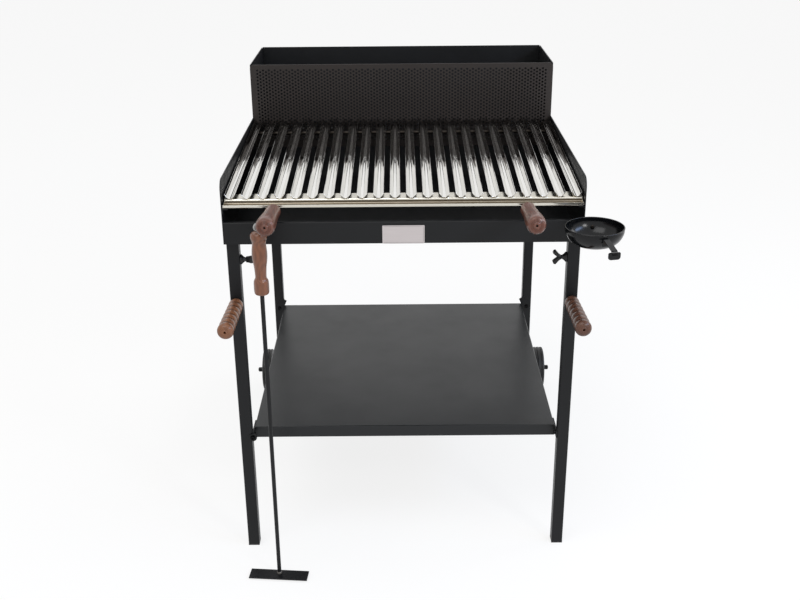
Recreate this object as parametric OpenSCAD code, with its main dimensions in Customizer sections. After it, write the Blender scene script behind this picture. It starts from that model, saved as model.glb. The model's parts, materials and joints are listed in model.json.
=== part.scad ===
// Wheeled charcoal barbecue with a rear firewood basket and a sloping channel-bar grill.
// Units are millimetres, +Z is up and the user stands on the -Y side.
// The origin is on the floor, under the middle of the whole object.

/* [Firebox] */
// Width over the two side panels
body_w = 720; // [640:10:800]
// Depth from the front panel to the back panel
body_d = 785; // [745:5:845]
// Height of the firebox's underside above the floor
box_z = 740; // [680:5:800]
// Height of the side panels beside the grill
side_h = 132; // [125:1:160]
// Height of the firewood basket above the side panels
basket_h = 126; // [90:2:180]
// Depth of the firewood basket
basket_d = 250; // [200:5:270]
// Thickness of the sheet steel
sheet_t = 2; // [1.5:0.5:3]
// Height of the low panel under the ember opening
front_panel_h = 46; // [35:1:52]
// Radius of the side panels' front top corners
side_corner_r = 22; // [10:1:30]
// Radius of the basket's top corners
basket_corner_r = 9; // [5:1:14]
// Depth of the hem along the front panel's top edge
hem_d = 8; // [5:1:12]
// Height of the ember gap under the basket's front panel
ember_gap_h = 57; // [40:1:70]

/* [Fire grate] */
// Height of the grate's rods above the firebox floor
grate_z = 62; // [56:1:90]
// Diameter of the grate's rods
grate_rod_d = 8; // [6:1:12]
// Number of rods in the grate
grate_rods = 17; // [11:2:21]
// Height of the flat bars under the rods
grate_bar_h = 12; // [10:1:16]
// Thickness of the flat bars under the rods
grate_bar_t = 5; // [4:1:8]
// Width of the ledges under the grate
ledge_w = 20; // [14:1:30]

/* [Legs] */
// Side of the square leg tubes
leg_w = 25; // [22:1:35]
// Wall of the leg tubes
leg_wall = 1.5; // [1.2:0.1:2]
// Distance from the side panels' outer faces to the legs
leg_inset_x = 1; // [0:0.5:6]
// Distance from the front and back panels to the legs
leg_inset_y = 23; // [15:1:35]
// Gap between the legs' top ends and the firebox
leg_top_gap = 5; // [2:1:10]
// Length of the square stubs under the firebox
stub_len = 100; // [70:5:140]
// Wall of the stubs
stub_wall = 1.5; // [1.2:0.1:2]
// Clearance around the stubs inside the legs
stub_clear = 0.2; // [0.1:0.1:0.5]
// Height of the rim of the legs' end caps
cap_rim_h = 4; // [3:1:8]

/* [Wing screws] */
// Distance from the firebox's underside down to the wing screws
screw_drop = 45; // [35:1:60]
// Diameter of the wing screws' studs
screw_d = 6; // [5:1:8]
// Radius of the wing screws' collars
collar_r = 10.5; // [8:0.5:12]
// Distance from the collar's seat to the tips of the wings
wing_reach = 29; // [24:1:36]
// Distance between the wings' tips
wing_span = 30; // [24:1:36]

/* [Shelf] */
// Height of the shelf's top face
shelf_z = 294; // [260:2:420]
// Height of the shelf's folded rim
shelf_rim_h = 26; // [22:1:36]
// Depth of the shelf's screws below its top face
shelf_screw_drop = 10; // [10:1:14]
// Thickness of the shelf's sheet and of its brackets
shelf_t = 2; // [1.5:0.5:3]
// Gap between the shelf's rim and the legs' inner faces
shelf_gap = 3; // [2:0.5:6]
// Height of the shelf brackets
bracket_h = 16; // [14:1:20]
// Length of a shelf bracket past its leg
bracket_tail = 34; // [24:1:50]
// Radius of the round lug on the front left bracket
lug_r = 9; // [7:1:12]
// Height of the rear brackets' ears above the shelf
ear_h = 20; // [12:1:30]
// Reach of the rear brackets' ears from the legs
ear_reach = 9; // [5:1:14]
// Diameter of the shelf screws
shelf_screw_d = 6; // [5:1:8]

/* [Wheels] */
// Diameter of the wheels
wheel_d = 120; // [100:2:150]
// Width of the wheels' treads
wheel_w = 26; // [20:1:36]
// Length of the wheels' hubs
hub_l = 46; // [30:1:50]
// Diameter of the wheels' hubs
hub_d = 34; // [26:1:44]
// Diameter of the axle
axle_d = 10; // [8:1:14]
// Distance from the rear legs' rear faces back to the axle
axle_back = 38; // [20:1:60]
// Distance from the legs' outer faces to the hubs
hub_gap = 3; // [2:1:20]
// Length of the caps on the axle's ends
axle_cap_l = 15; // [10:1:20]
// Radial running clearance of the wheels' bores
run_clear = 0.05; // [0.03:0.01:0.08]

/* [Grill] */
// Number of channel bars
bar_count = 22; // [14:1:26]
// Width across the open top of a bar
bar_w = 21.6; // [16:0.2:24]
// Width of a bar's flat bottom
bar_floor_w = 8; // [5:0.5:10]
// Depth of a bar
bar_depth = 10; // [8:0.5:14]
// Thickness of the bars' and the gutter's sheet
bar_t = 1.5; // [1:0.1:2]
// Rise of the grill towards the back, in degrees
grill_slope = 3.4; // [2:0.1:4]
// Drop from the side panels' top edge to the bars' front ends
grill_drop = 34.5; // [32:0.5:40]
// Distance from the front panel's face back to the bars' front ends
bar_setback = 20; // [6:1:30]
// Gap between the bars' rear ends and the basket
bar_rear_gap = 4; // [3:1:20]
// Diameter of the cross rod under the bars
cross_rod_d = 8; // [6:1:10]
// Distance from the bars' rear ends to the cross rod
cross_rod_back = 66; // [40:1:160]
// Gap between the grill and the side panels
grill_side_gap = 2; // [1:0.5:4]
// Width of the rails that carry the grill
rail_w = 12; // [8:1:16]

/* [Grease gutter] */
// Inside width of the gutter's trough
trough_w = 22.5; // [10:0.5:24]
// Drop from the gutter's flange to the trough's underside
trough_drop = 10.5; // [8:0.5:16]
// Height of the gutter's front lip
lip_h = 7; // [5:0.5:8]
// Depth of the flange under the bars
flange_d = 31; // [20:1:45]

/* [Grill handles] */
// Distance from the middle of the grill to its handles
grill_handle_x = 249.5; // [200:0.5:290]
// Length of the wooden grill handles
grill_handle_l = 156; // [120:2:190]
// Largest diameter of the grill handles
grill_handle_d = 37; // [32:1:46]
// Diameter of the handles' rear ends
grill_handle_rear_d = 30; // [24:1:36]
// Shift of both grill handles towards the left
grill_handle_shift = 5.5; // [0:0.5:10]
// Rise of the grill handles towards the user, in degrees
grill_handle_rise = 6; // [0:0.5:9]
// Diameter of the steel rods inside the wooden handles
handle_rod_d = 5; // [4:1:8]

/* [Leg handles] */
// Height of the ribbed handles' rear ends on the front legs
leg_handle_z = 601; // [560:1:630]
// Rise of the ribbed handles towards the user, in degrees
leg_handle_rise = 3; // [0:0.5:5]
// Length of the ribbed handles
leg_handle_l = 162; // [120:2:200]
// Diameter of the ribbed handles' front ends
leg_handle_d = 33; // [26:1:38]
// Diameter of the ribbed handles' rear ends
leg_handle_rear_d = 30; // [24:1:34]
// Number of ribs on a handle
rib_count = 7; // [5:1:9]

/* [Ember rake] */
// Distance from the middle of the firebox to the rake
rake_x = 277; // [240:1:290]
// Distance from the front panel's face to the rake's rod
rake_out = 87; // [70:1:120]
// Height of the hook's bar above the firebox's underside
rake_hook_rise = 68; // [50:1:70]
// Height of the blade's underside above the floor
rake_floor_gap = 4; // [4:1:40]
// Diameter of the rake's rod
rake_rod_d = 8.5; // [6:0.5:10]
// Width of the rake's blade
blade_w = 128; // [100:2:140]
// Depth of the rake's blade
blade_d = 32; // [24:1:44]
// Reach of the blade behind the rod's axis
blade_back = 10; // [6:1:16]
// Turn of the blade round the rod, in degrees
blade_turn = 5; // [0:1:10]
// Thickness of the rake's blade
blade_t = 3; // [2:0.5:4]
// Length of the rake's turned handle
rake_handle_l = 127; // [110:1:150]
// Largest diameter of the rake's turned handle
rake_handle_d = 32; // [26:1:36]

/* [Grease pan] */
// Diameter of the pan's rim
pan_d = 115; // [90:1:140]
// Depth of the pan
pan_h = 38; // [30:1:46]
// Diameter of the pan's flat bottom
pan_floor_d = 44; // [30:1:70]
// Wall of the pan
pan_t = 1.5; // [1:0.1:2]
// Height of the pan's rim above the firebox's underside
pan_rise = 59; // [50:1:64]
// Distance from the middle of the firebox to the pan's middle
pan_x = 366; // [340:1:380]
// Distance from the front panel's face to the pan's middle
pan_out = 75; // [74:1:110]
// Length of the pan's strap handle
strap_l = 45; // [30:1:70]
// Turn of the strap towards the right, in degrees
strap_turn = 11; // [0:1:30]
// Width of the strap
strap_w = 12; // [8:1:16]
// Width of the tab at the strap's end
tab_w = 24; // [16:1:30]
// Length of the tab at the strap's end
tab_l = 17; // [10:1:24]
// Thickness of the strap, the hook and the bracket
strap_t = 2; // [1.5:0.5:3]

/* [Nameplate] */
// Width of the blank nameplate
plate_w = 84; // [60:1:110]
// Height of the blank nameplate
plate_h = 38; // [20:1:40]

/* [Hidden] */
$fn = 64;

// Colours
black_paint = [0.15, 0.15, 0.16];
shelf_paint = [0.27, 0.28, 0.28];
stainless = [0.80, 0.80, 0.77];
varnished_wood = [0.50, 0.35, 0.28];
black_plastic = [0.10, 0.10, 0.10];
bright_steel = [0.62, 0.62, 0.62];
pan_black = [0.12, 0.13, 0.15];

// Clearances that seats share
seat_gap = 0.3;
fit_gap = 0.1;

// Length of the turn at the front: the pan's tab is the foremost point
strap_reach = pan_d / 2 + strap_l + strap_t;
front_reach = pan_out + strap_reach * cos(strap_turn) + tab_w / 2 * sin(strap_turn);
rear_reach = body_d - leg_inset_y + axle_back + wheel_d / 2;
front_y = (front_reach - rear_reach) / 2;
back_y = front_y + body_d;
basket_y = back_y - basket_d;
side_z = box_z + side_h;
top_z = side_z + basket_h;
half_w = body_w / 2;
inner_w = half_w - sheet_t;
floor_z = box_z + sheet_t;

// Legs
leg_x = half_w - leg_inset_x - leg_w / 2;
front_leg_y = front_y + leg_inset_y + leg_w / 2;
rear_leg_y = back_y - leg_inset_y - leg_w / 2;
leg_inner_x = leg_x - leg_w / 2;
leg_top = box_z - leg_top_gap;
leg_hollow = leg_w - 2 * leg_wall;
stub_w = leg_hollow - 2 * stub_clear;
wing_z = box_z - screw_drop;

// Grill frame: local y runs back along the bars, local z is zero at the bars' top edges
grill_y = front_y + bar_setback;
grill_z = side_z - grill_drop;
bar_len = (basket_y - bar_rear_gap - grill_y) / cos(grill_slope);
grill_half = inner_w - grill_side_gap;
bar_edge = 0.8;
bar_pitch = (2 * (grill_half - bar_edge) - bar_w) / (bar_count - 1);
rod_y = bar_len - cross_rod_back;
rod_z = -bar_depth - cross_rod_d / 2;
rail_top = rod_z - cross_rod_d / 2 - seat_gap;
flange_top = -bar_depth;
trough_bottom = flange_top - trough_drop;
lip_y = -trough_w - bar_t;
rail_back = rod_y + 3 * cross_rod_d;

// Rods in the handles: how deep their front ends lie in the wood
rod_end_depth = 12;

// Fire grate
grate_gap = 4;
grate_edge = 8;
grate_low = basket_y + sheet_t + grate_gap;
grate_high = back_y - sheet_t - grate_gap;
grate_half = inner_w - grill_side_gap;
grate_rod_z = floor_z + grate_z;
grate_bar_low = grate_rod_z - grate_bar_h;
grate_first_x = ledge_w + grate_edge - inner_w;
grate_pitch = -2 * grate_first_x / (grate_rods - 1);
ledge_top = grate_bar_low - seat_gap;

// Shelf
shelf_half = leg_inner_x - shelf_gap;
shelf_front = front_leg_y + leg_w / 2 + shelf_gap;
shelf_back = rear_leg_y - leg_w / 2 - shelf_gap;
rim_screw_inset = 14;
bracket_z = shelf_z - shelf_screw_drop;
front_rim_screw_y = shelf_front + rim_screw_inset;
rear_rim_screw_x = shelf_half - rim_screw_inset;
lug_x = leg_inner_x - 2;
lug_screw_d = 11;

// Wheels
axle_y = rear_leg_y + leg_w / 2 + axle_back;
axle_z = wheel_d / 2;
hub_x = half_w - leg_inset_x + hub_gap;
tread_x = hub_x + hub_l - wheel_w;
cap_gap = 1;
axle_half = hub_x + hub_l + cap_gap + axle_cap_l;
axle_bracket_t = 3;
axle_bracket_r = 14;
axle_bracket_x = leg_inner_x - axle_bracket_t;
axle_screw_zs = [axle_z - axle_bracket_r - 5, axle_z + axle_bracket_r + 5];

// Rake
rake_y = front_y - rake_out;
rake_hook_z = box_z + rake_hook_rise;
hook_d = 6;
eye_wire_d = 4;
eye_slack = 2.2;
eye_r = hook_d / 2 + seat_gap + eye_wire_d / 2 + eye_slack;
eye_z = rake_hook_z + hook_d / 2 + seat_gap + eye_wire_d / 2 - eye_r;
eye_shank_l = 20;
rake_top = eye_z - eye_r - eye_wire_d / 2 - seat_gap;
rake_bottom = rake_top - rake_handle_l;
rod_grip = 60;

// Pan
pan_z = box_z + pan_rise;
pan_y = front_y - pan_out;
pan_bottom = pan_z - pan_h;
hook_x = pan_x + 5;
hook_w = 16;
hook_seat_z = box_z + front_panel_h - 2;
hook_rivet_z = pan_bottom + pan_h * 0.52;
strap_z = pan_z - 13;
hook_top = hook_seat_z + seat_gap + strap_t;
hook_near = pan_y + pan_r(hook_top) + fit_gap;
upstand_y = hook_near + strap_t + seat_gap;
tongue_y = upstand_y + strap_t + seat_gap;

module span(a, b) {
  translate(a) cube(b - a);
}

// A flat outline drawn in y and z, thickened along x from x0 by t
module along_x(x0, t) {
  translate([x0, 0, 0]) rotate([90, 0, 90]) linear_extrude(t) children();
}

// A round rod between two points on one axis direction
module rod_x(x0, x1, y, z, d) {
  translate([x0, y, z]) rotate([0, 90, 0]) cylinder(h = x1 - x0, d = d);
}

module rod_y(x, y0, y1, z, d) {
  translate([x, y0, z]) rotate([-90, 0, 0]) cylinder(h = y1 - y0, d = d);
}

module both_sides() {
  children();
  mirror([1, 0, 0]) children();
}

// The firebox
module side_outline() {
  square([body_d, side_h - side_corner_r]);
  translate([side_corner_r, 0]) square([body_d - side_corner_r, side_h]);
  translate([side_corner_r, side_h - side_corner_r]) circle(side_corner_r);
  basket_from = body_d - basket_d + sheet_t;
  basket_top = side_h + basket_h;
  translate([basket_from, 0]) square([basket_d - sheet_t, basket_top - basket_corner_r]);
  translate([basket_from, 0]) square([basket_d - sheet_t - basket_corner_r, basket_top]);
  translate([body_d - basket_corner_r, basket_top - basket_corner_r]) circle(basket_corner_r);
}

module side_panel() {
  color(black_paint) along_x(inner_w, sheet_t) translate([front_y, box_z]) side_outline();
}

module left_side_panel() {
  mirror([1, 0, 0]) side_panel();
}

module right_side_panel() {
  side_panel();
}

module firebox_floor() {
  color(black_paint)
    span([-inner_w, front_y + sheet_t, box_z], [inner_w, back_y - sheet_t, floor_z]);
}

module front_panel() {
  panel_top = box_z + front_panel_h;
  color(black_paint) {
    span([-inner_w, front_y, box_z], [inner_w, front_y + sheet_t, panel_top]);
    span([-inner_w, front_y, panel_top - sheet_t], [inner_w, front_y + hem_d, panel_top]);
  }
}

module back_panel() {
  color(black_paint) span([-inner_w, back_y - sheet_t, box_z], [inner_w, back_y, top_z]);
}

// The perforated sheet is a plain sheet here, with its true outline and thickness
module basket_front() {
  low_z = floor_z + ember_gap_h;
  arc_z = top_z - basket_corner_r;
  color(black_paint) translate([0, basket_y + sheet_t, 0]) rotate([90, 0, 0])
    linear_extrude(sheet_t) {
      translate([-inner_w, low_z]) square([2 * inner_w, arc_z - low_z]);
      translate([-half_w, side_z]) square([body_w, arc_z - side_z]);
      translate([basket_corner_r - half_w, side_z])
        square([body_w - 2 * basket_corner_r, top_z - side_z]);
      for (s = [-1, 1])
        translate([s * (half_w - basket_corner_r), arc_z]) circle(basket_corner_r);
    }
}

// The fire grate: round rods in the notches of two flat bars that rest on the ledges
module grate_rod_row(d) {
  for (i = [0 : grate_rods - 1])
    rod_y(grate_first_x + i * grate_pitch, grate_low, grate_high, grate_rod_z, d);
}

module fire_grate() {
  color(black_paint) grate_rod_row(grate_rod_d);
}

module grate_cross_bars() {
  color(black_paint) difference() {
    for (f = [0.2, 0.8]) {
      low_y = grate_low + f * (grate_high - grate_low) - grate_bar_t / 2;
      span([-grate_half, low_y, grate_bar_low], [grate_half, low_y + grate_bar_t, grate_rod_z]);
    }
    grate_rod_row(grate_rod_d + 2 * fit_gap);
  }
}

module grate_ledge() {
  color(black_paint) {
    span([inner_w - ledge_w, grate_low, ledge_top - sheet_t], [inner_w, grate_high, ledge_top]);
    span([inner_w - sheet_t, grate_low, ledge_top - ledge_w], [inner_w, grate_high, ledge_top]);
  }
}

module left_grate_ledge() {
  mirror([1, 0, 0]) grate_ledge();
}

module right_grate_ledge() {
  grate_ledge();
}

// The legs, clamped on square stubs by wing screws
module square_tube(w, wall, h) {
  difference() {
    translate([-w / 2, -w / 2, 0]) cube([w, w, h]);
    translate([wall - w / 2, wall - w / 2, -1]) cube([w - 2 * wall, w - 2 * wall, h + 2]);
  }
}

// The hole that a wing screw passes, on the leg's inner side
module wing_hole(r) {
  translate([-leg_w, 0, wing_z]) rotate([0, 90, 0]) cylinder(h = leg_w, r = r);
}

module leg_stub() {
  color(black_paint) difference() {
    translate([0, 0, box_z - stub_len]) square_tube(stub_w, stub_wall, stub_len);
    wing_hole(screw_d / 2 + run_clear);
  }
}

module leg() {
  color(black_paint) difference() {
    translate([0, 0, cap_rim_h]) square_tube(leg_w, leg_wall, leg_top - cap_rim_h);
    wing_hole(screw_d / 2 + run_clear);
  }
}

// Local z runs out of the front leg along the ribbed handle
module at_leg_handle() {
  translate([0, 0, leg_handle_z]) rotate([90 - leg_handle_rise, 0, 0]) children();
}

// A front leg also has the holes for its handle's stud and its shelf screw
module front_leg() {
  color(black_paint) difference() {
    leg();
    translate([0, -leg_w / 2, 0]) at_leg_handle() translate([0, 0, -leg_w / 2])
      cylinder(h = leg_w, d = handle_rod_d + 2 * fit_gap);
    translate([-leg_w, 0, bracket_z]) rotate([0, 90, 0]) cylinder(h = leg_w, d = shelf_screw_d);
  }
}

// A rear leg also has the holes for its shelf screw and its axle bracket's screws
module rear_leg() {
  color(black_paint) difference() {
    leg();
    translate([0, -leg_w, bracket_z]) rotate([-90, 0, 0]) cylinder(h = leg_w, d = shelf_screw_d);
    for (z = axle_screw_zs)
      translate([-leg_w, 0, z]) rotate([0, 90, 0]) cylinder(h = leg_w, d = shelf_screw_d);
  }
}

module at_leg(side, y) {
  if (side > 0) translate([leg_x, y, 0]) children();
  else mirror([1, 0, 0]) translate([leg_x, y, 0]) children();
}

module front_left_stub() { at_leg(-1, front_leg_y) leg_stub(); }
module front_right_stub() { at_leg(1, front_leg_y) leg_stub(); }
module rear_left_stub() { at_leg(-1, rear_leg_y) leg_stub(); }
module rear_right_stub() { at_leg(1, rear_leg_y) leg_stub(); }

module front_left_leg() { at_leg(-1, front_leg_y) front_leg(); }
module front_right_leg() { at_leg(1, front_leg_y) front_leg(); }
module rear_left_leg() { at_leg(-1, rear_leg_y) rear_leg(); }
module rear_right_leg() { at_leg(1, rear_leg_y) rear_leg(); }

module end_cap() {
  plug = leg_hollow - 2 * fit_gap;
  plug_h = 12;
  translate([-leg_w / 2, -leg_w / 2, 0]) cube([leg_w, leg_w, cap_rim_h]);
  translate([-plug / 2, -plug / 2, cap_rim_h]) cube([plug, plug, plug_h]);
}

module leg_end_caps() {
  color(black_plastic)
    for (s = [-1, 1], y = [front_leg_y, rear_leg_y]) at_leg(s, y) end_cap();
}

// Each wing screw is left at its own turn, in degrees
front_left_turn = 80;
front_right_turn = 0;
rear_left_turn = 30;
rear_right_turn = 60;

// A wing screw on the right side, its axis along x and its collar on the leg's inner face
module wing_screw(turn) {
  neck_r = 4;
  collar_l = 9;
  neck_l = 12;
  blade_l = 12;
  thread_end = 6;
  thread_in = seat_gap + leg_wall + stub_clear + stub_wall + thread_end;
  wing_t = 6;
  half_blade = blade_l / 2;
  color(black_plastic) translate([leg_inner_x - seat_gap, 0, wing_z]) rotate([turn, 0, 0]) {
    rotate([0, 90, 0]) translate([0, 0, -neck_l]) cylinder(h = neck_l + thread_in, d = screw_d);
    rotate([0, -90, 0]) cylinder(h = collar_l, r1 = collar_r, r2 = neck_r);
    rotate([0, -90, 0]) cylinder(h = neck_l, r = neck_r);
    for (s = [0, 1]) mirror([0, 0, s]) rotate([90, 0, 0]) translate([0, 0, -half_blade])
      linear_extrude(blade_l)
        polygon([
          [1 - neck_l, 0],
          [1 - neck_l, wing_t / 2],
          [wing_t - wing_reach, wing_span / 2],
          [-wing_reach, wing_span / 2 - wing_t],
          [-neck_l - wing_t, 0]
        ]);
  }
}

module front_left_wing_screw() {
  mirror([1, 0, 0]) translate([0, front_leg_y, 0]) wing_screw(front_left_turn);
}

module front_right_wing_screw() {
  translate([0, front_leg_y, 0]) wing_screw(front_right_turn);
}

module rear_left_wing_screw() {
  mirror([1, 0, 0]) translate([0, rear_leg_y, 0]) wing_screw(rear_left_turn);
}

module rear_right_wing_screw() {
  translate([0, rear_leg_y, 0]) wing_screw(rear_right_turn);
}

// The shelf is a folded tray, open below
module shelf() {
  low = shelf_z - shelf_rim_h;
  color(shelf_paint) difference() {
    span([-shelf_half, shelf_front, low], [shelf_half, shelf_back, shelf_z]);
    span([shelf_t - shelf_half, shelf_front + shelf_t, low - 1],
         [shelf_half - shelf_t, shelf_back - shelf_t, shelf_z - shelf_t]);
    rod_x(-half_w, half_w, front_rim_screw_y, bracket_z, shelf_screw_d);
    for (x = [-rear_rim_screw_x, rear_rim_screw_x])
      rod_y(x, shelf_back - 2 * shelf_t, shelf_back + 1, bracket_z, shelf_screw_d);
  }
}

// A front bracket fills the gap between the leg's inner face and the shelf's side rim
module front_bracket() {
  front = front_leg_y - leg_w / 2;
  difference() {
    span([shelf_half, front, bracket_z - bracket_h / 2],
         [leg_inner_x, shelf_front + bracket_tail, bracket_z + bracket_h / 2]);
    for (y = [front_leg_y, front_rim_screw_y]) rod_x(0, half_w, y, bracket_z, shelf_screw_d);
  }
}

// The round lug in front of the left leg's inner corner
module bracket_lug() {
  front = front_leg_y - leg_w / 2;
  difference() {
    rod_y(lug_x, front - shelf_t, front, bracket_z, 2 * lug_r);
    rod_y(lug_x, front - shelf_t - 1, front + 1, bracket_z, shelf_screw_d);
  }
}

// A rear bracket lies between the shelf's rear rim and the leg's front face, with an ear above
module rear_bracket() {
  low = -bracket_h / 2;
  high = bracket_h / 2;
  top = shelf_screw_drop + ear_h;
  tip = shelf_screw_drop + ear_h * 0.6;
  difference() {
    translate([0, shelf_back + shelf_gap, bracket_z]) rotate([90, 0, 0]) linear_extrude(shelf_gap)
      polygon([
        [leg_x + leg_w / 4, low],
        [leg_x + leg_w / 4, high],
        [leg_inner_x + 4, top],
        [leg_inner_x, top],
        [leg_inner_x - ear_reach * 0.3, (top + tip) / 2],
        [leg_inner_x - ear_reach, tip],
        [leg_inner_x - shelf_gap, high],
        [shelf_half - bracket_tail, high],
        [shelf_half - bracket_tail, low]
      ]);
    for (x = [leg_x, rear_rim_screw_x])
      rod_y(x, shelf_back - 1, shelf_back + shelf_gap + 1, bracket_z, shelf_screw_d);
  }
}

module shelf_brackets() {
  color(black_paint) {
    both_sides() {
      front_bracket();
      rear_bracket();
    }
    mirror([1, 0, 0]) bracket_lug();
  }
}

// A screw along local z: the head's seat is at zero, the shank points up
module screw(reach, head_d) {
  head_h = 4;
  cylinder(h = reach, d = shelf_screw_d);
  difference() {
    translate([0, 0, -head_h]) cylinder(h = head_h, d1 = head_d - 2, d2 = head_d);
    translate([0, 0, -head_h - 1]) cylinder(h = head_h - 1, d = shelf_screw_d - 1);
  }
}

module screw_x(x0, y, z, reach) {
  translate([x0, y, z]) rotate([0, 90, 0]) screw(reach, lug_screw_d);
}

module screw_y(x, y0, z, reach) {
  translate([x, y0, z]) rotate([-90, 0, 0]) screw(reach, lug_screw_d);
}

module shelf_screws() {
  front = front_leg_y - leg_w / 2;
  leg_reach = shelf_gap + leg_wall + 5;
  color(bright_steel) {
    both_sides() {
      screw_x(shelf_half, front_leg_y, bracket_z, leg_reach);
      screw_x(shelf_half - shelf_t, front_rim_screw_y, bracket_z, shelf_t + shelf_gap);
      screw_y(leg_x, shelf_back, bracket_z, leg_reach);
      screw_y(rear_rim_screw_x, shelf_back - shelf_t, bracket_z, shelf_t + shelf_gap);
    }
    screw_y(-lug_x, front - shelf_t, bracket_z, shelf_t);
  }
}

// Axle, brackets and wheels
module axle() {
  color(bright_steel) rod_x(-axle_half, axle_half, axle_y, axle_z, axle_d);
}

module axle_bracket() {
  leg_front = rear_leg_y - leg_w / 2;
  color(black_paint) difference() {
    along_x(axle_bracket_x, axle_bracket_t) {
      translate([axle_y, axle_z]) circle(axle_bracket_r);
      translate([leg_front, axle_z - axle_bracket_r])
        square([axle_y - leg_front, 2 * axle_bracket_r]);
      translate([leg_front, axle_z - 2 * axle_bracket_r]) square([leg_w, 4 * axle_bracket_r]);
    }
    rod_x(0, half_w, axle_y, axle_z, axle_d);
    for (z = axle_screw_zs) rod_x(0, half_w, rear_leg_y, z, shelf_screw_d);
  }
}

module left_axle_bracket() {
  mirror([1, 0, 0]) axle_bracket();
}

module right_axle_bracket() {
  axle_bracket();
}

module axle_bracket_screws() {
  color(bright_steel) both_sides()
    for (z = axle_screw_zs)
      screw_x(axle_bracket_x, rear_leg_y, z, axle_bracket_t + leg_wall + 5);
}

module axle_caps() {
  cap_wall = 1.5;
  dome_h = 2;
  end_d = axle_d + 2 * cap_wall;
  color(black_plastic) both_sides() difference() {
    union() {
      rod_x(axle_half - axle_cap_l, axle_half, axle_y, axle_z, end_d);
      translate([axle_half, axle_y, axle_z]) rotate([0, 90, 0])
        cylinder(h = dome_h, d1 = end_d, d2 = axle_d - 3);
    }
    rod_x(hub_x, axle_half, axle_y, axle_z, axle_d);
  }
}

// One wheel on the right side: tread ring, thin web and hub, with a running bore
module wheel() {
  tread_t = 12;
  web_t = 6;
  groove_d = 2;
  groove_w = 3;
  r = wheel_d / 2;
  bore_r = axle_d / 2 + run_clear;
  color(black_plastic) translate([tread_x, axle_y, axle_z]) rotate([0, 90, 0])
    rotate_extrude() {
      difference() {
        translate([r - tread_t, 0]) square([tread_t, wheel_w]);
        for (f = [0.3, 0.7])
          translate([r - groove_d, wheel_w * f - groove_w / 2]) square([groove_d + 1, groove_w]);
      }
      translate([bore_r, (wheel_w - web_t) / 2]) square([r - tread_t / 2 - bore_r, web_t]);
      translate([bore_r, wheel_w - hub_l]) square([hub_d / 2 - bore_r, hub_l]);
    }
}

module left_wheel() {
  mirror([1, 0, 0]) wheel();
}

module right_wheel() {
  wheel();
}

// Turned handles. A profile is a list of [distance from the rear end, radius]
module turned(profile, length, bore_d) {
  difference() {
    rotate_extrude() polygon(concat([[0, 0]], [for (p = profile) [p[1], p[0]]], [[0, length]]));
    translate([0, 0, -1]) cylinder(h = length + 2, d = bore_d);
  }
}

// Ribs are round waves set side by side: t counts them from the rear end
rib_l = leg_handle_l / rib_count;
rib_rise = 2;
rib_steps = 8;
rear_round = 4;
dome_face_r = 5;
function rib_r(t) =
  let (swell = (leg_handle_d - leg_handle_rear_d) / 2 * t / rib_count)
  leg_handle_rear_d / 2 + swell - rib_rise * (1 - abs(sin(180 * t)));

// The last rib ends in a dome with a small flat face
rib_profile = concat(
  [[0, leg_handle_rear_d / 2 - rear_round]],
  [for (k = [2 : (rib_count - 0.5) * rib_steps]) [k / rib_steps * rib_l, rib_r(k / rib_steps)]],
  [for (a = [15 : 15 : 90])
    [(rib_count - 0.5 + 0.5 * sin(a)) * rib_l,
     dome_face_r + (rib_r(rib_count - 0.5) - dome_face_r) * cos(a)]]
);

leg_handle_gap = 1;

module leg_handle() {
  color(varnished_wood) translate([leg_x, front_leg_y - leg_w / 2, 0])
    at_leg_handle() translate([0, 0, leg_handle_gap])
      turned(rib_profile, leg_handle_l, handle_rod_d);
}

module left_leg_handle() {
  mirror([1, 0, 0]) leg_handle();
}

module right_leg_handle() {
  leg_handle();
}

// A stud runs from inside the wood through the leg's wall to its nut inside the tube
module leg_handle_studs() {
  nut_t = 5;
  nut_d = 2 * handle_rod_d;
  stud_l = leg_handle_gap + leg_handle_l - rod_end_depth;
  nut_seat = -leg_wall - 0.5;
  color(bright_steel) both_sides() translate([leg_x, front_leg_y - leg_w / 2, 0])
    at_leg_handle() {
      translate([0, 0, nut_seat]) cylinder(h = stud_l - nut_seat, d = handle_rod_d);
      translate([0, 0, nut_seat - nut_t]) cylinder(h = nut_t, d = nut_d);
    }
}

// The grill: everything that lifts off with it shares this frame
module grill_frame() {
  translate([0, grill_y, grill_z]) rotate([grill_slope, 0, 0]) children();
}

module bar_outline() {
  half = bar_w / 2;
  foot = bar_floor_w / 2;
  lean = (half - foot) / bar_depth;
  wall = bar_t * sqrt(1 + lean * lean);
  inner_foot = foot + lean * bar_t - wall;
  polygon([
    [-half, 0], [-foot, -bar_depth], [foot, -bar_depth], [half, 0],
    [half - wall, 0], [inner_foot, bar_t - bar_depth], [-inner_foot, bar_t - bar_depth],
    [wall - half, 0]
  ]);
}

module grill_bars() {
  color(stainless) grill_frame()
    for (i = [0 : bar_count - 1])
      translate([(i - (bar_count - 1) / 2) * bar_pitch, bar_len, 0]) rotate([90, 0, 0])
        linear_extrude(bar_len) bar_outline();
}

// The gutter: a flange under the bars, a trough in front of them and closed ends
module gutter_outline() {
  translate([0, flange_top - bar_t]) square([flange_d, bar_t]);
  translate([0, trough_bottom]) square([bar_t, trough_drop]);
  translate([lip_y, trough_bottom]) square([bar_t - lip_y, bar_t]);
  translate([lip_y, trough_bottom]) square([bar_t, lip_h]);
}

module grease_gutter() {
  end_h = lip_h;
  color(stainless) grill_frame() {
    along_x(-grill_half, 2 * grill_half) gutter_outline();
    for (x = [-grill_half, grill_half - bar_t])
      span([x, lip_y, trough_bottom], [x + bar_t, bar_t, trough_bottom + end_h]);
  }
}

module grill_cross_rod() {
  color(stainless) grill_frame() rod_x(-grill_half, grill_half, rod_y, rod_z, cross_rod_d);
}

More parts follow.
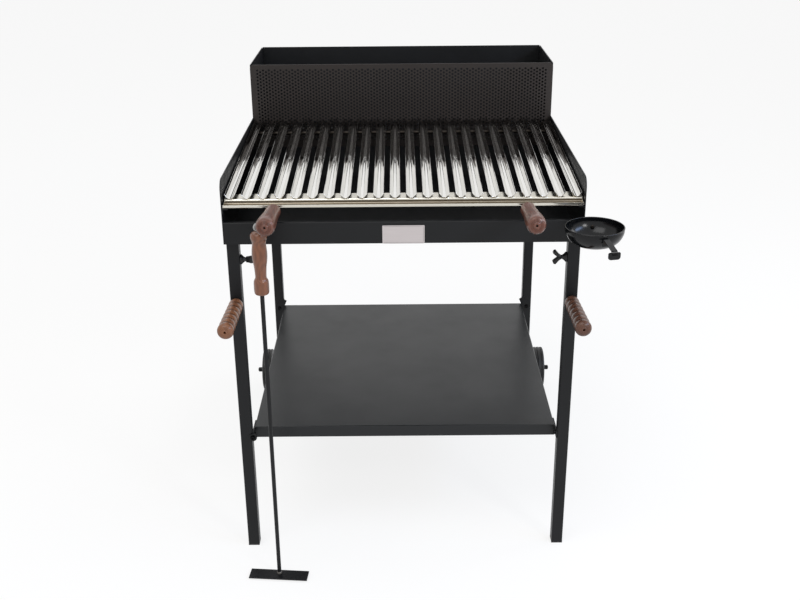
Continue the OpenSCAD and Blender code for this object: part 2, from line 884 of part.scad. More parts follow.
// One rail on the right side panel: a seat for the cross rod and a lower one for the trough
module grill_rail() {
  web_h = 14;
  front_top = trough_bottom - seat_gap;
  step_y = bar_t + 1;
  color(black_paint) grill_frame() {
    span([inner_w - rail_w, step_y, rail_top - sheet_t], [inner_w, rail_back, rail_top]);
    span([inner_w - sheet_t, step_y, rail_top - web_h], [inner_w, rail_back, rail_top]);
    span([inner_w - rail_w, lip_y, front_top - sheet_t], [inner_w, step_y, front_top]);
    span([inner_w - sheet_t, lip_y, rail_top - web_h], [inner_w, step_y, front_top]);
  }
}

module left_grill_rail() {
  mirror([1, 0, 0]) grill_rail();
}

module right_grill_rail() {
  grill_rail();
}

grill_handle_profile = [
  [0, grill_handle_rear_d / 2 - 6],
  [4, grill_handle_rear_d / 2 - 2.5],
  [10, grill_handle_rear_d / 2 - 0.5],
  [18, grill_handle_rear_d / 2],
  [grill_handle_l * 0.3, grill_handle_rear_d / 2],
  [grill_handle_l * 0.55, grill_handle_rear_d * 0.3 + grill_handle_d * 0.2],
  [grill_handle_l * 0.76, grill_handle_d / 2 - 0.3],
  [grill_handle_l * 0.88, grill_handle_d / 2],
  [grill_handle_l * 0.95, grill_handle_d / 2 - 1],
  [grill_handle_l * 0.98, grill_handle_d / 2 - 2.5],
  [grill_handle_l, grill_handle_d / 2 - 5]
];

// Local z runs from the gutter's front lip along the handle; the rod passes under the trough
rod_gap = 0.3;
rod_axis_drop = (handle_rod_d / 2 + rod_gap) / cos(grill_handle_rise + grill_slope);
rod_start = -12;
wood_start = 3;

module at_grill_handle(side) {
  translate([side * grill_handle_x - grill_handle_shift, 0, 0]) grill_frame()
    translate([0, lip_y, trough_bottom - rod_axis_drop])
      rotate([90 - grill_handle_rise - grill_slope, 0, 0]) children();
}

module grill_handle(side) {
  color(varnished_wood) at_grill_handle(side)
    translate([0, 0, wood_start]) turned(grill_handle_profile, grill_handle_l, handle_rod_d);
}

module left_grill_handle() {
  grill_handle(-1);
}

module right_grill_handle() {
  grill_handle(1);
}

module grill_handle_rods() {
  color(bright_steel) for (side = [-1, 1]) at_grill_handle(side)
    translate([0, 0, rod_start])
      cylinder(h = grill_handle_l - rod_end_depth - rod_start, d = handle_rod_d);
}

// The ember rake hangs by its eye on a bar hook
rake_profile = [
  [0, rake_handle_d * 0.36],
  [1.5, rake_handle_d * 0.42],
  [5, rake_handle_d * 0.455],
  [12, rake_handle_d * 0.465],
  [24, rake_handle_d * 0.46],
  [29, rake_handle_d * 0.43],
  [33, rake_handle_d * 0.365],
  [rake_handle_l * 0.3, rake_handle_d * 0.345],
  [rake_handle_l * 0.44, rake_handle_d * 0.375],
  [rake_handle_l * 0.53, rake_handle_d * 0.43],
  [rake_handle_l * 0.62, rake_handle_d * 0.467],
  [rake_handle_l * 0.70, rake_handle_d * 0.462],
  [rake_handle_l * 0.78, rake_handle_d * 0.428],
  [rake_handle_l * 0.82, rake_handle_d * 0.412],
  [rake_handle_l * 0.86, rake_handle_d * 0.433],
  [rake_handle_l * 0.905, rake_handle_d * 0.49],
  [rake_handle_l * 0.94, rake_handle_d * 0.5],
  [rake_handle_l * 0.97, rake_handle_d * 0.48],
  [rake_handle_l * 0.99, rake_handle_d * 0.42],
  [rake_handle_l, rake_handle_d * 0.3]
];

module rake_handle() {
  color(varnished_wood) difference() {
    translate([-rake_x, rake_y, rake_bottom])
      rotate_extrude() polygon(concat([[0, 0]], [for (p = rake_profile) [p[1], p[0]]],
                                      [[0, rake_handle_l]]));
    translate([-rake_x, rake_y, rake_bottom - 1]) cylinder(h = rod_grip + 1, d = rake_rod_d);
    translate([-rake_x, rake_y, rake_top - eye_shank_l])
      cylinder(h = eye_shank_l + 1, d = eye_wire_d);
  }
}

module rake_rod() {
  low = rake_floor_gap + blade_t;
  color(black_paint) translate([-rake_x, rake_y, low])
    cylinder(h = rake_bottom + rod_grip - low, d = rake_rod_d);
}

module rake_blade() {
  color(black_paint) translate([-rake_x, rake_y, rake_floor_gap]) rotate([0, 0, -blade_turn])
    span([-blade_w / 2, blade_back - blade_d, 0], [blade_w / 2, blade_back, blade_t]);
}

// A steel ring in the x and z plane on a shank that is screwed into the handle
module rake_eye() {
  color(bright_steel) translate([-rake_x, rake_y, eye_z]) {
    rotate([90, 0, 0]) rotate_extrude() translate([eye_r, 0]) circle(d = eye_wire_d);
    translate([0, 0, rake_top - eye_shank_l - eye_z])
      cylinder(h = eye_z - eye_r - rake_top + eye_shank_l, d = eye_wire_d);
  }
}

// A bent bar: up the front panel, forward through the eye, with an upturned tip
module rake_hook() {
  back = front_y - hook_d / 2;
  tip = rake_y - 2 * hook_d;
  tip_rise = 8;
  foot_z = box_z + front_panel_h * 0.45;
  color(black_paint) {
    translate([-rake_x, back, foot_z]) cylinder(h = rake_hook_z - foot_z, d = hook_d);
    translate([-rake_x, back, rake_hook_z]) sphere(d = hook_d);
    rod_y(-rake_x, tip, back, rake_hook_z, hook_d);
    translate([-rake_x, tip, rake_hook_z]) sphere(d = hook_d);
    translate([-rake_x, tip, rake_hook_z]) cylinder(h = tip_rise, d = hook_d);
  }
}

// The grease pan hooks over a bracket at the right end of the front panel
pan_steps = 8;
pan_curve = [
  for (k = [0 : pan_steps])
    [sin(90 * k / pan_steps), 1 - cos(90 * k / pan_steps)]
];

module bowl_profile(floor_r, rim_r, low, high) {
  polygon(concat(
    [[0, low]],
    [for (c = pan_curve) [floor_r + c[0] * (rim_r - floor_r), low + c[1] * (high - low)]],
    [[0, high]]
  ));
}

// The rivets stand out of the pan's wall: one for the strap, one for the hook
module at_strap() {
  translate([pan_x, pan_y, 0]) rotate([0, 0, strap_turn]) children();
}

module at_hook_rivet() {
  translate([hook_x, pan_y, hook_rivet_z]) rotate([-90, 0, 0]) children();
}

rivet_d = 5;
rivet_head_d = 8;
rim_cut = 0.5;

module pan_bowl() {
  color(pan_black) difference() {
    translate([pan_x, pan_y, 0]) rotate_extrude() difference() {
      bowl_profile(pan_floor_d / 2, pan_d / 2, pan_bottom, pan_z);
      bowl_profile(pan_floor_d / 2 - pan_t, pan_d / 2 - pan_t, pan_bottom + pan_t,
                   pan_z + rim_cut);
    }
    at_hook_rivet() cylinder(h = pan_d, d = rivet_d);
    at_strap() translate([0, 0, strap_z]) rotate([90, 0, 0]) cylinder(h = pan_d, d = rivet_d);
  }
}

module pan_strap() {
  near = pan_d / 2 + fit_gap;
  far = pan_d / 2 + strap_l;
  plate_half = 8;
  high = strap_z + plate_half;
  end_z = high - 9;
  color(pan_black) at_strap() difference() {
    union() {
      span([-strap_w / 2, -near - strap_t, strap_z - plate_half], [strap_w / 2, -near, high]);
      along_x(-strap_w / 2, strap_w)
        polygon([
          [-near, high], [-near, high - strap_t],
          [-far, end_z - strap_t], [-far, end_z]
        ]);
      span([-tab_w / 2, -far - strap_t, end_z - tab_l], [tab_w / 2, -far, end_z]);
    }
    translate([0, 0, strap_z]) rotate([90, 0, 0]) cylinder(h = near + strap_t + 1, d = rivet_d);
  }
}

// A bent strap on the pan's rear wall, its tongue behind the bracket's upstand
module pan_hook() {
  low = hook_rivet_z - rivet_d - 1;
  top = hook_top - strap_t;
  left = hook_x - hook_w / 2;
  right = hook_x + hook_w / 2;
  color(pan_black) difference() {
    union() {
      span([left, hook_near, low], [right, hook_near + strap_t, hook_top]);
      span([left, hook_near, top], [right, tongue_y + strap_t, hook_top]);
      span([left, tongue_y, low + strap_t], [right, tongue_y + strap_t, hook_top]);
    }
    at_hook_rivet() cylinder(h = pan_d / 2 + strap_t + 1, d = rivet_d);
  }
}

// Radius of the pan's wall at a height, outside and inside
function pan_r(z) =
  let (c = 1 - (z - pan_bottom) / pan_h)
  pan_floor_d / 2 + (pan_d - pan_floor_d) / 2 * sqrt(1 - c * c);

function pan_inner_r(z) =
  let (c = 1 - (z - pan_bottom - pan_t) / (pan_h - pan_t + rim_cut))
  pan_floor_d / 2 - pan_t + (pan_d - pan_floor_d) / 2 * sqrt(1 - c * c);

// A rivet with a head inside the pan and, unless it is flush, a head outside
module rivet(inner, outer, flush) {
  head_h = 2;
  edge_d = rivet_d + 1;
  translate([0, 0, inner - head_h]) cylinder(h = head_h, d1 = edge_d, d2 = rivet_head_d);
  translate([0, 0, inner - head_h]) cylinder(h = outer - inner + head_h, d = rivet_d);
  if (!flush) {
    translate([0, 0, outer]) cylinder(h = head_h, d1 = rivet_head_d, d2 = edge_d);
    translate([0, 0, outer - pan_t]) cylinder(h = head_h + pan_t, d = rivet_d);
  }
}

module pan_rivets() {
  hook_inner = pan_inner_r(hook_rivet_z - rivet_head_d / 2) - seat_gap;
  hook_outer = hook_near + strap_t - pan_y;
  strap_inner = pan_inner_r(strap_z - rivet_head_d / 2) - seat_gap;
  strap_outer = pan_d / 2 + fit_gap + strap_t;
  color(bright_steel) {
    at_hook_rivet() rivet(hook_inner, hook_outer, true);
    at_strap() translate([0, 0, strap_z]) rotate([90, 0, 0])
      rivet(strap_inner, strap_outer, false);
  }
}

// A channel, open above, at the right end of the front panel
module pan_bracket() {
  left = hook_x - hook_w / 2 - 2;
  right = hook_x + hook_w / 2 + 2;
  low = hook_seat_z - 22;
  foot_w = 26;
  color(black_paint) {
    span([inner_w - foot_w, front_y - strap_t, low], [right, front_y, hook_seat_z]);
    span([left, upstand_y, low], [right, front_y, low + strap_t]);
    span([left, upstand_y, low], [right, upstand_y + strap_t, hook_seat_z]);
  }
}

// The nameplate's lower edge is level with the front panel's
module nameplate() {
  plate_t = 1;
  color(bright_steel)
    span([-plate_w / 2, front_y - plate_t, box_z], [plate_w / 2, front_y, box_z + plate_h]);
}

left_side_panel();
right_side_panel();
firebox_floor();
front_panel();
back_panel();
basket_front();
fire_grate();
grate_cross_bars();
left_grate_ledge();
right_grate_ledge();
left_grill_rail();
right_grill_rail();
front_left_stub();
front_right_stub();
rear_left_stub();
rear_right_stub();
front_left_leg();
front_right_leg();
rear_left_leg();
rear_right_leg();
leg_end_caps();
front_left_wing_screw();
front_right_wing_screw();
rear_left_wing_screw();
rear_right_wing_screw();
shelf();
shelf_brackets();
shelf_screws();
axle();
left_axle_bracket();
right_axle_bracket();
axle_bracket_screws();
axle_caps();
left_wheel();
right_wheel();
left_leg_handle();
right_leg_handle();
leg_handle_studs();
grill_bars();
grease_gutter();
grill_cross_rod();
left_grill_handle();
right_grill_handle();
grill_handle_rods();
rake_handle();
rake_rod();
rake_blade();
rake_eye();
rake_hook();
pan_bowl();
pan_strap();
pan_hook();
pan_rivets();
pan_bracket();
nameplate();
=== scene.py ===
import json
import logging
import math
from collections.abc import Callable, Iterable, Sequence
from dataclasses import dataclass, field
from enum import Enum
from typing import Any

import bpy
from mathutils import Matrix, Vector


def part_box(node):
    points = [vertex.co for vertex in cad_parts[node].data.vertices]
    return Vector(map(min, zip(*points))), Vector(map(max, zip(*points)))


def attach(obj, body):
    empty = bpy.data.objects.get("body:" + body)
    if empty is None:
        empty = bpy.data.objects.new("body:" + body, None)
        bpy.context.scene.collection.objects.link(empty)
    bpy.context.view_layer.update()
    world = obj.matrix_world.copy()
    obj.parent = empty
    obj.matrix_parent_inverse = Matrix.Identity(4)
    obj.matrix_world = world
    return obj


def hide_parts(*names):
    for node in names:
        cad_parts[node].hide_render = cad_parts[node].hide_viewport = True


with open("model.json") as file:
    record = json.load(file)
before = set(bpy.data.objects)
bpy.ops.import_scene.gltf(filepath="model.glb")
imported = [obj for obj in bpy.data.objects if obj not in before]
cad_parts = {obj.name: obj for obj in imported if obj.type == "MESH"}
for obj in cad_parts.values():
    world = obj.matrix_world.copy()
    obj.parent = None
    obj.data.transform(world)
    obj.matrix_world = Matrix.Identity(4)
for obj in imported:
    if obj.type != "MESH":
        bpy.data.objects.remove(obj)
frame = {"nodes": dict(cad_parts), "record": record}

LOG = logging.getLogger("barbecue")
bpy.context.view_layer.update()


class Slot(Enum):
    """The record's material slots."""

    BLACK_PAINT = "black_paint"
    SHELF_PAINT = "shelf_paint"
    STAINLESS = "stainless"
    ZINC = "zinc"
    WOOD = "wood"
    PLASTIC = "plastic"
    WHEEL_PLASTIC = "wheel_plastic"
    PAN_ENAMEL = "pan_enamel"
    PLATE_METAL = "plate_metal"


class Body(Enum):
    """The CAD bodies that pieces ride on."""

    FRAME = "frame"
    GRILL = "grill"
    GRATE = "grate"
    RAKE = "rake"
    PAN = "pan"
    LEFT_WHEEL = "left_wheel_body"
    RIGHT_WHEEL = "right_wheel_body"
    FRONT_LEFT_SCREW = "front_left_screw"
    FRONT_RIGHT_SCREW = "front_right_screw"
    REAR_LEFT_SCREW = "rear_left_screw"
    REAR_RIGHT_SCREW = "rear_right_screw"


class Pick(Enum):
    """What an edit-mode selection is made of."""

    VERTS = "VERT"
    EDGES = "EDGE"
    FACES = "FACE"


# Small helpers


def metres(*values: float) -> Vector:
    """Turn millimetres into a vector in metres."""
    return Vector([value / 1000 for value in values])


def cad_box(node: str) -> tuple[Vector, Vector]:
    """Give a CAD node's lowest and highest corners in millimetres."""
    low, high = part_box(node)
    return Vector(low) * 1000, Vector(high) * 1000


def linear(code: str) -> tuple[float, float, float, float]:
    """Turn an sRGB hex colour into linear values.

    Args:
        code: The colour as #rrggbb.

    Returns:
        Red, green, blue and alpha, as Blender's sockets take them.
    """
    parts = [int(code[i:i + 2], 16) / 255 for i in (1, 3, 5)]
    red, green, blue = (c / 12.92 if c <= 0.04045 else ((c + 0.055) / 1.055) ** 2.4 for c in parts)
    return red, green, blue, 1.0


def flowing(points: Sequence[tuple[float, float]], steps: int) -> list[tuple[float, float]]:
    """Draw a smooth curve through the points of a turned profile.

    Args:
        points: Distance along the axis and radius, in millimetres.
        steps: How many short lines each stretch becomes.

    Returns:
        The finer profile, which keeps every given point.
    """
    ends = [points[0], *points, points[-1]]
    curve: list[tuple[float, float]] = []
    for a, b, c, d in zip(ends, ends[1:], ends[2:], ends[3:]):
        for step in range(steps):
            t = step / steps
            curve.append(tuple(
                0.5 * (2 * b[k] + (c[k] - a[k]) * t
                       + (2 * a[k] - 5 * b[k] + 4 * c[k] - d[k]) * t * t
                       + (3 * b[k] - a[k] - 3 * c[k] + d[k]) * t ** 3)
                for k in (0, 1)
            ))
    curve.append(points[-1])
    return curve


def arc(centre: tuple[float, float], radius: float, start: float, end: float,
        steps: int) -> list[tuple[float, float]]:
    """Give points on a circle's arc.

    Args:
        centre: The circle's middle in millimetres.
        radius: Its radius in millimetres.
        start: The first angle in degrees.
        end: The last angle in degrees.
        steps: The number of short lines.

    Returns:
        The points from the first angle to the last.
    """
    angles = [math.radians(start + (end - start) * i / steps) for i in range(steps + 1)]
    return [(centre[0] + radius * math.cos(a), centre[1] + radius * math.sin(a)) for a in angles]


def add_node(tree: bpy.types.NodeTree, kind: str, inputs: dict[Any, Any] | None = None,
             **settings: Any) -> bpy.types.Node:
    """Add a shader node with its settings, values and links.

    Args:
        tree: The node tree that gets the node.
        kind: Blender's name for the node type.
        inputs: What each input gets: another node's output, or a plain value.
        settings: The node's own options.

    Returns:
        The new node.
    """
    made = tree.nodes.new(kind)
    for key, value in settings.items():
        setattr(made, key, value)
    for key, value in (inputs or {}).items():
        if isinstance(value, bpy.types.NodeSocket):
            tree.links.new(value, made.inputs[key])
        else:
            made.inputs[key].default_value = value
    return made


# The modelling bench


class Work:
    """One mesh that is shaped in edit mode with Blender's operators, sizes in millimetres."""

    def __init__(self, thing: bpy.types.Object, name: str) -> None:
        """Take an object onto the bench under a new name."""
        self.thing = thing
        thing.name = name
        thing.data.name = name

    @staticmethod
    def clear() -> None:
        """Leave edit mode and deselect everything."""
        if bpy.context.object and bpy.context.object.mode != "OBJECT":
            bpy.ops.object.mode_set(mode="OBJECT")
        bpy.ops.object.select_all(action="DESELECT")

    @classmethod
    def settle(cls, name: str) -> "Work":
        """Take the primitive that was just added, with its place applied."""
        bpy.ops.object.transform_apply(location=True, rotation=True, scale=True)
        return cls(bpy.context.object, name)

    @classmethod
    def block(cls, name: str, low: Sequence[float], high: Sequence[float]) -> "Work":
        """Start from a cube between two corners.

        Args:
            name: The piece's name.
            low: The lowest corner in millimetres.
            high: The highest corner in millimetres.

        Returns:
            The block on the bench.
        """
        cls.clear()
        a, b = metres(*low), metres(*high)
        bpy.ops.mesh.primitive_cube_add(size=1, location=(a + b) / 2, scale=b - a)
        return cls.settle(name)

    @classmethod
    def ring(cls, name: str, centre: Sequence[float], radius: float, sides: int) -> "Work":
        """Start from an open circle that faces along z.

        Args:
            name: The piece's name.
            centre: The circle's middle in millimetres.
            radius: Its radius in millimetres.
            sides: The number of its corners.

        Returns:
            The circle on the bench.
        """
        cls.clear()
        bpy.ops.mesh.primitive_circle_add(
            vertices=sides, radius=radius / 1000, fill_type="NOTHING", location=metres(*centre))
        return cls.settle(name)

    @classmethod
    def line(cls, name: str, points: Sequence[Sequence[float]], closed: bool = False) -> "Work":
        """Draw a chain of edges, each point extruded from the one before.

        Args:
            name: The piece's name.
            points: The corners in millimetres.
            closed: Whether the last point joins the first.

        Returns:
            The chain on the bench.
        """
        cls.clear()
        places = [metres(*p) for p in points]
        bpy.ops.mesh.primitive_plane_add(size=0.001, location=places[0])
        work = cls.settle(name)
        bpy.ops.object.mode_set(mode="EDIT")
        bpy.ops.mesh.select_mode(type="VERT")
        bpy.ops.mesh.select_all(action="SELECT")
        bpy.ops.mesh.merge(type="CENTER")
        for here, there in zip(places, places[1:]):
            bpy.ops.mesh.extrude_region_move(TRANSFORM_OT_translate={"value": there - here})
        if closed:
            bpy.ops.mesh.select_all(action="SELECT")
            bpy.ops.mesh.edge_face_add()
        return work

    @classmethod
    def from_node(cls, node: str, name: str) -> "Work":
        """Copy a CAD node's mesh, merge its loose triangles and clear its flat faces.

        Args:
            node: The CAD node.
            name: The new piece's name.

        Returns:
            The copy on the bench.
        """
        cls.clear()
        copy = bpy.data.objects.new(name, frame["nodes"][node].data.copy())
        bpy.context.scene.collection.objects.link(copy)
        copy.data.materials.clear()
        work = cls(copy, name)
        work.take()
        bpy.ops.object.mode_set(mode="EDIT")
        bpy.ops.mesh.select_all(action="SELECT")
        bpy.ops.mesh.remove_doubles(threshold=2e-6)
        bpy.ops.mesh.dissolve_limited(angle_limit=math.radians(0.8))
        bpy.ops.object.mode_set(mode="OBJECT")
        return work

    def take(self) -> None:
        """Make this piece the only selected and active one, in object mode."""
        self.clear()
        self.thing.select_set(True)
        bpy.context.view_layer.objects.active = self.thing

    def choose(self, kind: Pick, test: Callable[[Vector, Vector], bool]) -> "Work":
        """Select what passes a test and enter edit mode.

        Args:
            kind: Whether vertices, edges or faces are chosen.
            test: Gets a middle in millimetres, and a face's normal or an edge's direction.

        Returns:
            This piece.
        """
        self.take()
        bpy.ops.object.mode_set(mode="EDIT")
        bpy.ops.mesh.select_mode(type=kind.value)
        bpy.ops.mesh.select_all(action="DESELECT")
        bpy.ops.object.mode_set(mode="OBJECT")
        mesh = self.thing.data
        if kind is Pick.FACES:
            for face in mesh.polygons:
                face.select = test(face.center * 1000, face.normal)
        elif kind is Pick.EDGES:
            for edge in mesh.edges:
                a, b = (mesh.vertices[i].co for i in edge.vertices)
                edge.select = test((a + b) * 500, (b - a).normalized())
        else:
            for vertex in mesh.vertices:
                vertex.select = test(vertex.co * 1000, vertex.normal)
        bpy.ops.object.mode_set(mode="EDIT")
        return self

    def everything(self) -> "Work":
        """Select the whole mesh in edit mode."""
        self.take()
        bpy.ops.object.mode_set(mode="EDIT")
        bpy.ops.mesh.select_mode(type="VERT")
        bpy.ops.mesh.select_all(action="SELECT")
        return self

    def extrude(self, *shift: float) -> "Work":
        """Extrude the selection by a step in millimetres."""
        bpy.ops.mesh.extrude_region_move(TRANSFORM_OT_translate={"value": metres(*shift)})
        return self

    def inset(self, width: float, depth: float = 0.0) -> "Work":
        """Inset the chosen faces by a width and push them in by a depth, in millimetres."""
        bpy.ops.mesh.inset(thickness=width / 1000, depth=-depth / 1000)
        return self

    def round(self, width: float, segments: int, corners: bool = False) -> "Work":
        """Bevel the chosen edges, or the chosen corners of a chain.

        Args:
            width: The bevel's width in millimetres.
            segments: The number of its steps.
            corners: Whether corners are rounded instead of edges.

        Returns:
            This piece.
        """
        bpy.ops.mesh.bevel(
            offset=width / 1000, segments=segments, affect="VERTICES" if corners else "EDGES")
        return self

    def delete(self, kind: str) -> "Work":
        """Delete the selection as vertices, edges or faces."""
        bpy.ops.mesh.delete(type=kind)
        return self

    def spin(self, centre: Sequence[float], axis: Sequence[float], steps: int,
             degrees: float = 360.0, copies: bool = False) -> "Work":
        """Spin the selection round an axis.

        Args:
            centre: A point on the axis in millimetres.
            axis: The axis' direction.
            steps: The number of steps.
            degrees: How far it turns.
            copies: Whether separate copies are made in place of a skin.

        Returns:
            This piece.
        """
        bpy.ops.mesh.spin(
            steps=steps, angle=math.radians(degrees), dupli=copies,
            center=metres(*centre), axis=axis)
        return self

    def heal(self) -> "Work":
        """Merge doubled points and turn all faces outwards."""
        self.everything()
        bpy.ops.mesh.remove_doubles(threshold=2e-6)
        bpy.ops.mesh.normals_make_consistent(inside=False)
        bpy.ops.object.mode_set(mode="OBJECT")
        return self

    def modify(self, kind: str, **settings: Any) -> "Work":
        """Add a modifier and apply it.

        Args:
            kind: Blender's name for the modifier type.
            settings: The modifier's options, lengths in metres.

        Returns:
            This piece.
        """
        self.take()
        bpy.ops.object.modifier_add(type=kind)
        modifier = self.thing.modifiers[-1]
        for key, value in settings.items():
            setattr(modifier, key, value)
        bpy.ops.object.modifier_apply(modifier=modifier.name)
        return self

    def thicken(self, wall: float, side: float = 0.0) -> "Work":
        """Give an open skin a wall.

        Args:
            wall: The wall in millimetres.
            side: Where the skin lies in it: -1 outside, 0 in the middle, 1 inside.

        Returns:
            This piece.
        """
        return self.modify(
            "SOLIDIFY", thickness=wall / 1000, offset=side, use_even_offset=True,
            use_quality_normals=True)

    def soften(self, width: float, segments: int = 2, angle: float = 35.0) -> "Work":
        """Round all edges sharper than an angle.

        Args:
            width: The rounding's width in millimetres.
            segments: The number of its steps.
            angle: The smallest angle in degrees between two faces that is rounded.

        Returns:
            This piece.
        """
        return self.modify(
            "BEVEL", width=width / 1000, segments=segments, limit_method="ANGLE",
            angle_limit=math.radians(angle), use_clamp_overlap=True, miter_outer="MITER_SHARP")

    def move(self, matrix: Matrix) -> "Work":
        """Apply a placement, whose shift is in millimetres, to the mesh."""
        self.take()
        placed = matrix.copy()
        placed.translation = placed.translation / 1000
        self.thing.matrix_world = placed
        bpy.ops.object.transform_apply(location=True, rotation=True, scale=True)
        return self.heal() if matrix.determinant() < 0 else self

    def copy(self, name: str, matrix: Matrix) -> "Work":
        """Make a placed copy that has its own mesh.

        Args:
            name: The copy's name.
            matrix: Its placement from here, with the shift in millimetres.

        Returns:
            The copy on the bench.
        """
        self.take()
        bpy.ops.object.duplicate(linked=False)
        return Work(bpy.context.object, name).move(matrix)

    def join(self, *others: "Work") -> "Work":
        """Join other pieces into this one."""
        self.take()
        for other in others:
            other.thing.select_set(True)
        bpy.ops.object.join()
        return self

    def smooth(self, angle: float = 40.0) -> "Work":
        """Shade smooth where faces meet at less than an angle in degrees."""
        self.take()
        bpy.ops.object.shade_smooth_by_angle(angle=math.radians(angle))
        return self

    def polish(self) -> "Work":
        """Shade smooth all over, with flat faces kept flat between their rounded edges."""
        self.take()
        bpy.ops.object.shade_smooth()
        return self.modify("WEIGHTED_NORMAL", keep_sharp=True, weight=80)


def turned(name: str, profile: Sequence[tuple[float, float]], sides: int = 64) -> Work:
    """Turn a profile round the z axis, as on a lathe.

    Args:
        name: The piece's name.
        profile: Height and radius of each point, in millimetres, from pole to pole or closed.
        sides: The number of steps round the axis.

    Returns:
        The turned piece, its axis on z.
    """
    work = Work.line(name, [(radius, 0.0, height) for height, radius in profile])
    bpy.ops.mesh.select_all(action="SELECT")
    work.spin((0, 0, 0), (0, 0, 1), sides)
    return work.heal()


def folded(name: str, section: Sequence[Sequence[float]], run: Sequence[float], wall: float,
           bend: float, side: float = 0.0) -> Work:
    """Fold a sheet: a section with rounded corners is drawn out and given its wall.

    Args:
        name: The piece's name.
        section: The corners of the section in millimetres.
        run: How far the section is drawn out, in millimetres.
        wall: The sheet's wall in millimetres.
        bend: The radius of the folds in millimetres.
        side: Where the section lies in the wall: -1, 0 or 1.

    Returns:
        The folded sheet with slightly rounded edges.
    """
    work = Work.line(name, section)
    inner = [Vector(p) for p in section[1:-1]]
    work.choose(Pick.VERTS, lambda at, _: any((at - p).length < 0.01 for p in inner))
    if inner:
        work.round(bend, 4, corners=True)
    work.everything().extrude(*run)
    work.heal()
    return work.thicken(wall, side).soften(min(0.3, wall / 5), 2, 60)


# Finishes


@dataclass(frozen=True)
class PowderCoat:
    """Satin black powder coat on sheet steel: a fine orange peel and slightly patchy sheen."""

    name: str
    shade: str = "#101112"
    worn: str = "#191a1c"
    gloss: float = 0.40
    shine: float = 0.25
    # Powder coat flows out to waves of 1 to 2 mm; drawn at 2.5 mm so that they show
    peel_mm: float = 2.5
    # Handling leaves duller patches about a hand wide
    patch_mm: float = 120.0

    def make(self) -> bpy.types.Material:
        """Build the material."""
        material = bpy.data.materials.new(self.name)
        material.use_nodes = True
        tree = material.node_tree
        shader = tree.nodes["Principled BSDF"]
        place = add_node(tree, "ShaderNodeTexCoord").outputs["Object"]
        patch = add_node(tree, "ShaderNodeTexNoise", {
            "Vector": place, "Scale": 1000 / self.patch_mm, "Detail": 4.0, "Roughness": 0.6})
        peel = add_node(tree, "ShaderNodeTexNoise", {
            "Vector": place, "Scale": 1000 / self.peel_mm, "Detail": 2.0})
        colour = add_node(tree, "ShaderNodeMix", {
            "Factor": patch.outputs["Fac"], "A": linear(self.shade), "B": linear(self.worn)},
            data_type="RGBA")
        gloss = add_node(tree, "ShaderNodeMapRange", {
            "Value": patch.outputs["Fac"], "From Min": 0.3, "From Max": 0.7,
            "To Min": self.gloss - 0.05, "To Max": self.gloss + 0.06})
        bump = add_node(tree, "ShaderNodeBump", {
            "Height": peel.outputs["Fac"], "Strength": 0.18, "Distance": 0.0004})
        tree.links.new(colour.outputs["Result"], shader.inputs["Base Color"])
        tree.links.new(gloss.outputs["Result"], shader.inputs["Roughness"])
        tree.links.new(bump.outputs["Normal"], shader.inputs["Normal"])
        shader.inputs["Specular IOR Level"].default_value = self.shine
        return material


